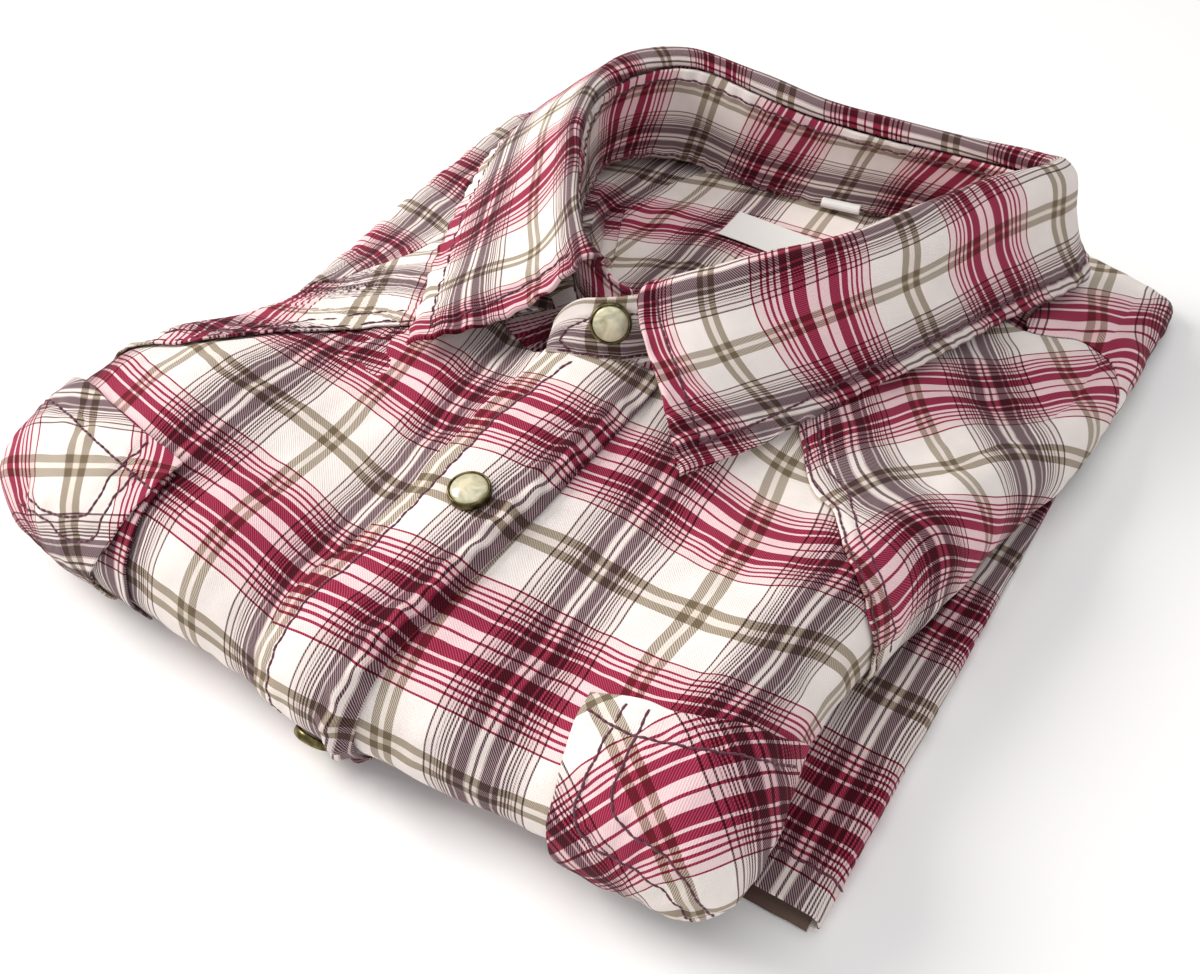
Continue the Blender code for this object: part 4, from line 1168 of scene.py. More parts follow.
# ------------------------------------------------------------------ panels on the skin
@dataclass
class Panel:
    """A woven panel that lies on the draped skin, bounded by four lines of the cloth."""

    name: str
    left: Line
    right: Line
    low: Line
    high: Line
    lift: float | Callable[[Array, Array], Array]
    sewn: tuple[tuple[tuple[float, float], ...], ...] = ()
    rests_on: tuple[str, ...] = ()
    seed: int = 1
    cell: float = 1.7
    cut: tuple[float, float, float] | None = None
    depth: float = 0.3

    def cloth(self, p: Array, q: Array) -> tuple[Array, Array]:
        """Cloth coordinates of (p, q), found in a few rounds from a first guess.

        Args:
            p: Shares across, 0 to 1.
            q: Shares along, 0 to 1.

        Returns:
            Coordinates across and along.
        """
        v = between(q, np.full_like(p, -60.0), np.full_like(p, 200.0))
        u = p * 0
        for _ in range(4):
            u = between(p, self.left(v), self.right(v))
            v = between(q, self.low(u), self.high(u))
        return u, v

    def on_cloth(self, u: Array, v: Array, out: Array | float) -> Array:
        """The point of cloth (u, v) at a height over the panel's underside.

        Args:
            u: Cloth coordinates across.
            v: Cloth coordinates along.
            out: Height over the underside.

        Returns:
            The points.
        """
        under = self.lift(u, v) if callable(self.lift) else self.lift
        relief = puckered(self.sewn, u, v, self.seed, self.depth)
        return drape(u, v, under + creases(u, v) + relief + out)

    def place(self, p: Array, q: Array, out: Array | float) -> Array:
        """The point of (p, q) at a height over the panel's underside."""
        return self.on_cloth(*self.cloth(p, q), out)

    def size(self) -> tuple[float, float]:
        """Width and length across the panel's middle, in mm.

        Returns:
            The width and the length.
        """
        t, mid = np.linspace(0, 1, 40), np.full(40, 0.5)
        across, along = self.place(t, mid, 0.0), self.place(mid, t, 0.0)
        return tuple(
            float(np.linalg.norm(np.diff(line, axis=0), axis=1).sum()) for line in (across, along)
        )

    def make(self, paint: bpy.types.Material) -> None:
        """Args:
            paint: Material.
        """
        size, chart = self.size(), CHARTS[self.name]
        cells = tuple(max(8, round(side / self.cell)) for side in size)
        piece = woven(
            "cloth_" + self.name, cells, size, self.place,
            lambda p, q: chart.weave(*self.cloth(p, q)), paint,
        )
        declare(piece, Finish.CLOTH, (self.name,), self.cut, self.rests_on)

    def seams(self) -> list[tuple[Array, Array]]:
        """The sewn rows as paths on the panel's face, with normals.

        Returns:
            Per row, its points and the normals there.
        """
        paths = []
        for row in self.sewn:
            ends = np.array(row, float)
            far = run_along(ends)
            at = stops_along(far)
            u, v = hermite(far, ends[:, 0], at), hermite(far, ends[:, 1], at)
            face, over = self.on_cloth(u, v, WALL), self.on_cloth(u, v, WALL + 1.0)
            paths.append((face, unit(over - face)))
        return paths


def declare(
    piece: bpy.types.Object, finish: Finish, nodes: Sequence[str] = (),
    cut: tuple[float, float, float] | None = None, rests_on: Sequence[str] = (),
) -> None:
    """Attaches a piece to the root, hides the CAD nodes that it stands for and logs its surface.

    Args:
        piece: The piece.
        finish: Not used.
        nodes: CAD nodes that it replaces.
        cut: Width, length and area of its flat cut in mm and mm2, for a sheet.
        rests_on: What the sheet lies on.
    """
    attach(piece, "root")
    if nodes:
        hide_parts(*nodes)
    half = half_area(piece)
    log.info("%s: %d faces, half surface %.5f m2", piece.name, len(piece.data.polygons), half)
    if cut is not None:
        wide, long, area = cut
        list(rests_on)


def sew_panels(
    panels: Sequence[Panel], name: str, wardrobe: Wardrobe, seamstress: Seamstress
) -> None:
    """Makes panels, and one piece of that name that holds all their stitches.

    Args:
        panels: The panels.
        name: Name of the stitches' piece.
        wardrobe: The finishes.
        seamstress: Sews the rows.
    """
    rows = []
    for panel in panels:
        panel.make(wardrobe.cloth)
        rows += panel.seams()
    declare(seamstress.sew(name, rows), Finish.CLOTH)


def placket_lift(u: Array, v: Array) -> Array:
    """The placket's underside: over the fronts, with a ridge beside its right edge that wanders
    and bunches like a washed seam.

    Args:
        u: Cloth coordinates across.
        v: Cloth coordinates along.

    Returns:
        The heights over the skin.
    """
    off, width, height = PLACKET_RIDGE
    fade = np.clip((58 - v) / 12, 0, 1)
    away = u - table(PLACKET_AXIS, v) - off
    away = away + 1.1 * np.sin(v * math.tau / 13.5 + 0.6 * np.sin(v / 9))
    bunch = 1.15 + 0.38 * np.sin(v * math.tau / 8.3 + 1.1)
    ridge = height * bunch * fade * np.exp(-((away / (width * 0.62)) ** 2))
    return PLY_LIFT + 0.25 + ridge


@dataclass
class Body:
    """The two fronts, the placket and the western yokes."""

    under: float = 13.0  # the fronts run on under the yokes
    yoke_rows: tuple[float, float] = (1.6, 9.0)  # two rows of stitches, in from the yoke's edge

    @staticmethod
    def tucked(seam: dict[float, float]) -> Callable[[Array, Array], Array]:
        """The front's lift: it dips a little where the yoke covers it."""
        return lambda u, v: -0.6 * np.clip((v - table(seam, u) + 5) / 6, 0, 1)

    def panels(self) -> list[Panel]:
        """Every panel, named as its node.

        Returns:
            The panels.
        """
        axis = of_table(PLACKET_AXIS)
        front_low = roll_end(Side.FRONT, 125)
        side_left, side_right = roll_end(Side.LEFT, 122), roll_end(Side.RIGHT, 118)

        def capped(side: Line, v_end: float) -> Line:
            """The side's line, held still below v_end."""
            return lambda v: side(np.maximum(v, v_end))

        def right_top(u: Array) -> Array:
            """Round the neck, then on under the yoke."""
            covered = table(YOKE_SEAM_RIGHT, u) + self.under
            return np.where(u < 48, np.interp(u, (16, 24, 32, 48), (59, 68, 78, 86)), covered)

        def left_top(u: Array) -> Array:
            """Round the neck, then on under the yoke."""
            covered = table(YOKE_SEAM_LEFT, u) + self.under
            return np.where(
                u > -52, np.interp(u, (-52, -40, -28, -18), (75, 70, 64, 58.5)), covered
            )

        left_edge = tuple(
            (table(PLACKET_AXIS, [v])[0] - 11.4 + 3.6 * max(v - 35, 0) / 20, v)
            for v in range(-100, 60, 12)
        )
        right_yoke, left_yoke = (
            tuple(tuple((u, table(seam, [u])[0] + row) for u in span) for row in self.yoke_rows)
            for seam, span in (
                (YOKE_SEAM_RIGHT, range(36, 128, 6)), (YOKE_SEAM_LEFT, range(-128, -36, 6)),
            )
        )
        return [
            Panel(
                "front_left", lambda v: axis(v) + 12.5, capped(side_right, -40), front_low,
                right_top, self.tucked(YOKE_SEAM_RIGHT), rests_on=("hidden_layers",), seed=11,
                cut=(125, 200, 17800),
            ),
            Panel(
                "front_right", capped(side_left, -38), lambda v: axis(v) + 10.5, front_low,
                left_top, self.tucked(YOKE_SEAM_LEFT), rests_on=("hidden_layers",), seed=12,
                cut=(185, 190, 24500),
            ),
            Panel(
                "placket", lambda v: axis(v) - PLACKET_LEFT, lambda v: axis(v) + PLACKET_RIGHT,
                roll_end(Side.FRONT, 140), flat(PLACKET_TOP), placket_lift,
                sewn=(left_edge,), rests_on=("front_right",), seed=13, cell=1.3,
                cut=(42, 205, 7100),
            ),
            Panel(
                "front_yoke_left", of_table(NECK_CLEAR_RIGHT, 2.5), lambda v: side_right(v) - 1.0,
                of_table(YOKE_SEAM_RIGHT), of_table(ARM_SEAM_RIGHT), PLY_LIFT, sewn=right_yoke,
                rests_on=("front_left",), seed=14, cell=1.5, cut=(150, 170, 12500),
            ),
            Panel(
                "front_yoke_right",
                lambda v: np.maximum(table(ARM_SEAM_LEFT, v), side_left(v) + 1.0),
                of_table(NECK_CLEAR_LEFT, -2.5), of_table(YOKE_SEAM_LEFT), flat(200), PLY_LIFT,
                sewn=left_yoke, rests_on=("front_right",), seed=15, cell=1.5,
                cut=(150, 210, 10500),
            ),
        ]

    def build(self, wardrobe: Wardrobe, seamstress: Seamstress) -> None:
        """Makes the panels and their stitches."""
        sew_panels(self.panels(), "stitches_front", wardrobe, seamstress)


@dataclass
class Pockets:
    """Chest pockets and their bias flaps, rolled under the bottom fold."""

    def panels(self) -> list[Panel]:
        """Every panel, named as its node.

        Returns:
            The panels.
        """
        front_low = roll_end(Side.FRONT, 126)
        side_left = roll_end(Side.LEFT, 122)
        right_rows = (
            ((72, -37), (72.5, -50), (73.5, -66), (76, -68), (90, -70), (106, -74), (122, -84)),
            ((78, -37), (79, -48), (81, -59), (84, -61), (98, -63), (112, -70), (124, -76)),
            ((64, -41), (76, -43.5), (90, -41), (104, -33), (112, -25)),
        )
        left_rows = (
            ((-140, -27), (-122, -33), (-104, -38), (-80, -42.5)),
            ((-91, -31), (-92, -44), (-94, -55), (-97, -56.5), (-112, -58), (-122, -56)),
            ((-86, -41), (-88, -50), (-90, -60), (-93, -62), (-112, -60), (-124, -60)),
        )
        return [
            Panel(
                "pocket_left", flat(70),
                lambda v: np.interp(v, (-95, -57, -37, -16), (124, 119, 113, 109)), front_low,
                of_table(FLAP_RIGHT_TOP, -4.0), PLY_LIFT + 0.3,
                rests_on=("front_left",), seed=21, cut=(60, 65, 3100),
            ),
            Panel(
                "pocket_right", lambda v: side_left(v) + 3.0, flat(-77.5), front_low,
                of_table(FLAP_LEFT_TOP, -4.0), PLY_LIFT + 0.2,
                rests_on=("front_right",), seed=22, cut=(95, 75, 5000),
            ),
            Panel(
                "pocket_flap_left", lambda v: np.interp(v, (-95, -60, -35), (67, 65, 61)),
                lambda v: np.interp(v, (-95, -57, -37, -16), (128, 123, 117, 113)),
                lambda u: front_low(u) - 1.0, of_table(FLAP_RIGHT_TOP), 2 * PLY_LIFT + 0.7,
                sewn=right_rows, rests_on=("pocket_left",), seed=23, cell=1.2, depth=0.4,
                cut=(72, 72, 3900),
            ),
            Panel(
                "pocket_flap_right", lambda v: side_left(v) + 1.0,
                lambda v: np.interp(v, (-95, -71, -59, -45, -31), (-93, -91, -83.5, -78.5, -78)),
                lambda u: front_low(u) - 1.0, of_table(FLAP_LEFT_TOP), 2 * PLY_LIFT + 0.4,
                sewn=left_rows, rests_on=("pocket_right",), seed=24, cell=1.2, depth=0.4,
                cut=(95, 80, 5200),
            ),
        ]

    def build(self, wardrobe: Wardrobe, seamstress: Seamstress) -> None:
        """Makes the panels and their stitches."""
        sew_panels(self.panels(), "stitches_flaps", wardrobe, seamstress)


@dataclass
class Sleeves:
    """Short sleeves: the heads beyond the armholes and the strip folded back beside the body."""

    inner: float = 85.3  # where the strip's two plies end, beside the body
    hem: float = 12.0  # the hem's stitches, in from its mouth
    strip_size: tuple[float, float] = (100.0, SLEEVE_TOP - HEM_MOUTH)
    cuff_size: tuple[float, float] = (38.0, 20.0)

    def strip(self, p: Array, q: Array, out: Array | float) -> Array:
        """The folded strip.

        Args:
            p: Shares from the upper ply's inner end round the fold to the lower ply's.
            q: Shares from the hem's mouth to the shoulder.
            out: Height over the underside.

        Returns:
            The points.
        """
        upper, fold, lower = (1.0, 0.6, 0.25, 0.08), (60, 20, -20, -60), (0.08, 0.5, 1.0)
        keys = np.linspace(0, 1, len(upper) + len(fold) + len(lower))
        y = between(q, HEM_MOUTH, SLEEVE_TOP)
        outer, top = table(SLEEVE_FOLD, y), table(SLEEVE_FOLD_HIGH, y)
        low = WALL / 2 + 0.4
        half = (top - low) / 2
        start, flat_run = outer - half, np.abs(outer - self.inner) - half
        spots = [
            (start - share * flat_run, top + 1.2 * share * (top > 5), 0.0, 1.0) for share in upper
        ]
        for degrees in fold:
            out_x, out_z = math.cos(math.radians(degrees)), math.sin(math.radians(degrees))
            spots.append((start + half * out_x, low + half + half * out_z, out_x, out_z))
        spots += [(start - share * flat_run, low + 0 * y, 0.0, -1.0) for share in lower]
        xs, zs, nx, nz = zip(*spots)
        x, z = hermite(keys, np.array(xs), p), hermite(keys, np.array(zs), p)
        normal = unit(np.stack([hermite(keys, nx, p), p * 0, hermite(keys, nz, p)], -1))
        upper_ply = np.clip((0.55 - p) / 0.1, 0, 1)
        soft = upper_ply * (0.5 * waves(x, y, 31, 26) + 0.15 * waves(x, y, 32, 9))
        row = np.array([(60.0, HEM_MOUTH + self.hem), (160.0, HEM_MOUTH + self.hem)])
        hem, run = nearest([row], x, y)
        soft = soft + upper_ply * 0.35 * (
            np.sin(run * math.tau / 6.5) * np.exp(-((hem / 4) ** 2)) - np.exp(-((hem / 1.3) ** 2))
        )
        return np.stack([x, y, z], -1) + normal * (out - WALL / 2 + soft)[:, None]

    def cuff(self, p: Array, q: Array, out: Array | float) -> Array:
        """The hem's allowance, turned in over the lower ply's edge and rising inside the mouth. Its
        dark cloth is painted shade for the mouth's deep shadow.

        Args:
            p: Shares across, 0 to 1.
            q: Shares from the mouth inwards.
            out: Height over the underside.

        Returns:
            The points.
        """
        x = between(p, 88.5, 126.5)
        y = between(q, HEM_MOUTH - 0.9, HEM_MOUTH + 18.0)
        rise = 1 / (1 + np.exp((0.26 - q) * 14))
        side = np.clip((126.5 - x) / 5, 0, 1)
        z = 1.75 + (table(SLEEVE_FOLD_HIGH, y) - 4.6) * rise * np.sqrt(side)
        z = z - 1.3 * np.clip(1 - q / 0.06, 0, 1) ** 2
        return np.stack([x, y, z + (0.1 + 0.25 * rise) * waves(x, y, 35, 14) + out], -1)

    def strip_cloth(self, p: Array, q: Array) -> Array:
        """Weave of the strip: its width is laid out flat from the fold.

        Args:
            p: Shares across, 0 to 1.
            q: Shares along, 0 to 1.

        Returns:
            Warp and weft coordinates.
        """
        t = np.linspace(0, 1, 200)
        line = self.strip(t, np.full(200, 0.4), np.zeros(200))
        run = run_along(line)
        a = SLEEVE_FOLD[-41] + np.interp(p, t, run) - np.interp(0.6, t, run)
        return CHARTS["sleeve_left_fold"].weave(a, between(q, HEM_MOUTH, SLEEVE_TOP))

    @staticmethod
    def cuff_painted_shade_weave(p: Array, q: Array) -> Array:
        """Weave of the cuff, held at the plaid's darkest crossing, plum over olive, as painted
        shade: the real allowance shows the sleeve's plaid, and this dark patch stands in for the
        deep shadow inside the mouth.
        """
        return np.stack([2.8 + 0.2 * q, 29.8 + 0.3 * p], -1)

    def build(self, wardrobe: Wardrobe, seamstress: Seamstress) -> None:
        """Makes the heads, the strip and its hem.

        Args:
            wardrobe: The finishes.
            seamstress: Sews the rows.
        """
        side_left, side_right = roll_end(Side.LEFT, 122), roll_end(Side.RIGHT, 118)
        back_high = roll_end(Side.BACK, 118)
        head = Panel(
            "sleeve_left_head", lambda v: np.interp(v, (170, 185, 215, 262), (104, 98, 101, 102)),
            lambda v: side_right(v) - 0.5, lambda u: table(ARM_SEAM_RIGHT, u) + 1.0, back_high,
            PLY_LIFT, rests_on=("hidden_layers",), seed=33, cut=(60, 95, 4000),
        )
        right = Panel(
            "sleeve_right", lambda v: side_left(v) + 1.0,
            lambda v: table(ARM_SEAM_LEFT, v) - 2.3, flat(56), lambda u: back_high(u) - 2.0,
            PLY_LIFT, rests_on=("hidden_layers",), seed=34, cut=(75, 215, 9500),
        )
        for panel in (head, right):
            panel.make(wardrobe.cloth)
        strip = woven(
            "cloth_sleeve_left_fold", (60, 110), self.strip_size, self.strip, self.strip_cloth,
            wardrobe.cloth,
        )
        declare(strip, Finish.CLOTH, ("sleeve_left_fold",), (100, 195, 17500), ("hidden_layers",))
        # The cuff is a real hem allowance, but its colour is painted shade: the dark inside of the
        # sleeve's mouth.
        cuff = woven(
            "cloth_sleeve_cuff_painted_shade", (26, 14), self.cuff_size, self.cuff, self.cuff_painted_shade_weave,
            wardrobe.cloth,
        )
        declare(cuff, Finish.CLOTH, (), (39, 20, 780), ("sleeve_left_fold",))
        p, q = np.linspace(0.02, 0.55, 60), np.full(60, self.hem / self.strip_size[1])
        face, over = self.strip(p, q, np.full(60, WALL)), self.strip(p, q, np.full(60, WALL + 1))
        declare(seamstress.sew("stitches_sleeve", [(face, unit(over - face))]), Finish.CLOTH)


# ------------------------------------------------------------------ collar
def station(rows: Sequence[Sequence[float]], at: Array, columns: Sequence[int]) -> list[Array]:
    """Columns of a station table read smoothly at fractional stations."""
    keys = np.arange(len(rows), dtype=float)
    return [hermite(keys, [row[c] for row in rows], at) for c in columns]


def stand_line(at: Array) -> tuple[Array, Array]:
    """Foot and head of the stand at fractional stations.

    Args:
        at: Fractional stations.

    Returns:
        The foot's and the head's points.
    """
    x, y, lean_x, lean_y, top = station(STAND, at, range(5))
    low = mound(x, y) + PLY_LIFT + WALL + 0.9
    for dx, dy in ((3, 0), (-3, 0), (0, 3), (0, -3)):
        low = np.maximum(low, mound(x + dx * 0.6, y + dy * 0.6) + PLY_LIFT + WALL + 0.35)
    foot = np.stack([x, y, low], -1)
    head = np.stack([x + lean_x, y + lean_y, top], -1)
    return foot, head


def fall_curve(at: Array, q: Array) -> Array:
    """The fall's middle surface: up from the stand's head, over the rim and down to the leaf's
    edge.

    Args:
        at: Fractional stations.
        q: Shares from the stand's head to the leaf's edge.

    Returns:
        The points.
    """
    rim_x, rim_y, rim_z, mid_x, mid_y, mid_z, tip_x, tip_y, tip_z = station(FALL, at, range(1, 10))
    foot, head = stand_line(station(FALL, at, [0])[0])
    rim = np.stack([rim_x, rim_y, rim_z], -1)
    mid = np.stack([mid_x, mid_y, mid_z], -1)
    tip = np.stack([tip_x, tip_y, tip_z], -1)
    out = mid - head
    out[:, 2] = 0
    out = unit(out)
    up = np.array([0, 0, 1.0])
    base = head + unit(head - foot) * 0.9
    crest = rim + out * 1.5
    knots = (0.0, 0.07, 0.15, 0.24, 0.58, 1.0)
    points = (
        base, base + (rim - base) * np.array([0.45, 0.45, 0.72]) - out * 0.4, crest,
        crest + out * 4.2 - up * 3.6, mid, tip,
    )
    point = np.stack(
        [hermite(knots, np.array([spot[:, c] for spot in points]), q) for c in range(3)], -1
    )
    lie = mound(point[:, 0], point[:, 1]) + PLY_LIFT + WALL + COLLAR_WALL / 2 + 1.2
    leaf = np.clip((q - 0.3) / 0.2, 0, 1)
    point[:, 2] = np.maximum(
        point[:, 2], np.where(leaf > 0, lie * leaf + point[:, 2] * (1 - leaf), -1)
    )
    return point


class Part(Enum):
    """The two cut parts of the collar."""

    STAND = "stand"
    FALL = "fall"


@dataclass
class Collar:
    """The stand and the fall that folds over it, topstitched along their edges."""

    inset: float = 6.5  # the fall's topstitch, in from its edges
    fall_high: float = 60.0
    stand_high: float = 36.0
    turn: float = 1.0  # width of the turned edges
    runs: dict[Part, tuple[Array, Array]] = field(default_factory=dict)

    def high(self, part: Part) -> float:
        """Height of the stand or the fall, laid out flat."""
        return self.stand_high if part is Part.STAND else self.fall_high

    def stand_at(self, p: Array, q: Array) -> tuple[Array, Array]:
        """Point and outward normal of the stand's middle surface.

        Args:
            p: Shares along.
            q: Shares up.

        Returns:
            Points and normals.
        """
        at = p * (len(STAND) - 1)
        foot, head = stand_line(at)
        ahead = stand_line(np.minimum(at + 0.05, len(STAND) - 1))[0]
        behind = stand_line(np.maximum(at - 0.05, 0))[0]
        rise = head - foot
        normal = unit(np.cross(unit(rise), unit(ahead - behind)))
        run, spots = self.run(Part.STAND)
        gone = np.interp(p, spots, run)
        near = np.clip(1 - np.minimum(gone, run[-1] - gone) / STAND_END, 0, 1)
        full = 1 - 0.55 * (1 - np.sqrt(np.maximum(1 - near**2, 0)))
        # The real foot is sewn into the neckline, so it is sunk a little into the yoke.
        low = foot - np.array([0, 0, 0.8])
        return low + (head - low) * (q * full)[:, None], normal

    def fall_at(self, p: Array, q: Array) -> tuple[Array, Array]:
        """Point and outward normal of the fall's middle surface.

        Args:
            p: Shares along.
            q: Shares from the stand to the leaf's edge.

        Returns:
            Points and normals.
        """
        at = p * (len(FALL) - 1)
        e = 0.02
        along = fall_curve(np.minimum(at + e, len(FALL) - 1), q) - fall_curve(
            np.maximum(at - e, 0), q
        )
        across = fall_curve(at, np.minimum(q + 0.01, 1)) - fall_curve(at, np.maximum(q - 0.01, 0))
        return fall_curve(at, q), -unit(np.cross(across, along))

    def run(self, part: Part) -> tuple[Array, Array]:
        """How far along its length each share of the stand or the fall lies, in mm.

        Args:
            part: The stand or the fall.

        Returns:
            The run, and the shares that it is given at.
        """
        if part not in self.runs:
            spots = np.linspace(0, 1, 300)
            if part is Part.STAND:
                path = stand_line(spots * (len(STAND) - 1))[0]
            else:
                path = fall_curve(spots * (len(FALL) - 1), np.full(300, 0.55))
            self.runs[part] = (run_along(path), spots)
        return self.runs[part]

    def laid_out(self, part: Part, p: Array, q: Array) -> tuple[Array, Array]:
        """Flat coordinates, in mm along and up, of a share of the stand or the fall."""
        run, spots = self.run(part)
        return np.interp(p, spots, run), q * self.high(part)

    def chart(self, part: Part) -> Chart:
        """The part's chart moved from shares to flat coordinates.

        Args:
            part: The stand or the fall.

        Returns:
            The chart.
        """
        shares = CHARTS["collar_" + part.value]
        given = np.array(shares.knots)
        a, b = self.laid_out(part, given[:, 0], given[:, 1])
        return Chart(tuple(zip(a, b, given[:, 2], given[:, 3])), shares.slack)

    def rows(self, part: Part) -> list[Array]:
        """Sewn rows in flat coordinates.

        Args:
            part: The stand or the fall.

        Returns:
            The rows as polylines.
        """
        run, _ = self.run(part)
        end = run[-1]
        if part is Part.STAND:
            low, high = 2.2, self.stand_high - 3.5
            return [
                np.array([(6, low), (end - 5, low)]),
                np.array([(6, high), (end - 34, high)]),
                np.array(
                    [(end - 34, high - 6), (end - 12, high - 8), (end - 5, high - 16), (end - 4, 8),
                     (end - 8, 3)]
                ),
            ]
        low, high, gap = 0.2 * self.fall_high, self.fall_high - self.inset, self.inset
        return [
            np.array([(gap, low), (gap, high)]), np.array([(gap, high), (end - gap, high)]),
            np.array([(end - gap, high), (end - gap, low)]),
        ]

    def place(self, part: Part, p: Array, q: Array, out: Array | float) -> Array:
        """The point of (p, q) at a height over the part's inner face, with worn puckers.

        Args:
            part: The stand or the fall.
            p: Shares along.
            q: Shares up.
            out: Height over the inner face.

        Returns:
            The points.
        """
        point, normal = (self.stand_at if part is Part.STAND else self.fall_at)(p, q)
        a, b = self.laid_out(part, p, q)
        relief = puckered(self.rows(part), a, b, 41, 0.5)
        if part is Part.FALL:
            end = self.run(part)[0][-1]
            edge = np.minimum(np.minimum(a, end - a), self.fall_high - b)
            frill = np.sin(a * math.tau / 8.5 + 2 * waves(a, b, 43, 45)) + np.sin(
                b * math.tau / 7.0 + 2 * waves(a, b, 44, 45)
            )
            relief = relief + 0.6 * frill * np.exp(-((edge / 4.5) ** 2))
            relief = relief + 0.5 * waves(a, b, 42, 30) * np.clip(edge / 10, 0, 1)
        else:
            relief = relief + 0.45 * waves(a, b, 45, 26)
        return point + normal * (relief + out - COLLAR_WALL / 2)[:, None]

    def stitches(self, part: Part, outward: float) -> list[tuple[Array, Array]]:
        """The part's rows as paths on one face.

        Args:
            part: The stand or the fall.
            outward: Above 0 for the outer face.

        Returns:
            Per row, its points and the normals there.
        """
        run, spots = self.run(part)
        paths = []
        for row in self.rows(part):
            far = run_along(row)
            at = stops_along(far)
            a, b = np.interp(at, far, row[:, 0]), np.interp(at, far, row[:, 1])
            p, q = np.interp(a, run, spots), b / self.high(part)
            face = self.place(part, p, q, COLLAR_WALL if outward > 0 else 0.0)
            over = self.place(part, p, q, COLLAR_WALL + 1 if outward > 0 else -1.0)
            paths.append((face, unit(over - face)))
        return paths

    def build(self, wardrobe: Wardrobe, seamstress: Seamstress) -> None:
        """Makes the stand, the fall and their topstitching.

        Args:
            wardrobe: The finishes.
            seamstress: Sews the rows.
        """
        for part, cells, cut, rests_on in (
            (Part.STAND, (280, 22), (520, 45, 19000), "back_yoke"),
            (Part.FALL, (300, 42), (620, 78, 41000), "collar_stand"),
        ):
            chart, size = self.chart(part), (float(self.run(part)[0][-1]), self.high(part))
            piece = woven(
                "cloth_collar_" + part.value, cells, size,
                lambda p, q, out, part=part: self.place(part, p, q, out),
                lambda p, q, part=part, chart=chart: chart.weave(*self.laid_out(part, p, q)),
                wardrobe.cloth, COLLAR_WALL, self.turn,
            )
            declare(piece, Finish.CLOTH, ("collar_" + part.value,), cut, (rests_on,))
        paths = self.stitches(Part.FALL, 1) + self.stitches(Part.FALL, -1)
        paths += self.stitches(Part.STAND, -1) + self.stitches(Part.STAND, 1)
        declare(seamstress.sew("stitches_collar", paths), Finish.CLOTH)


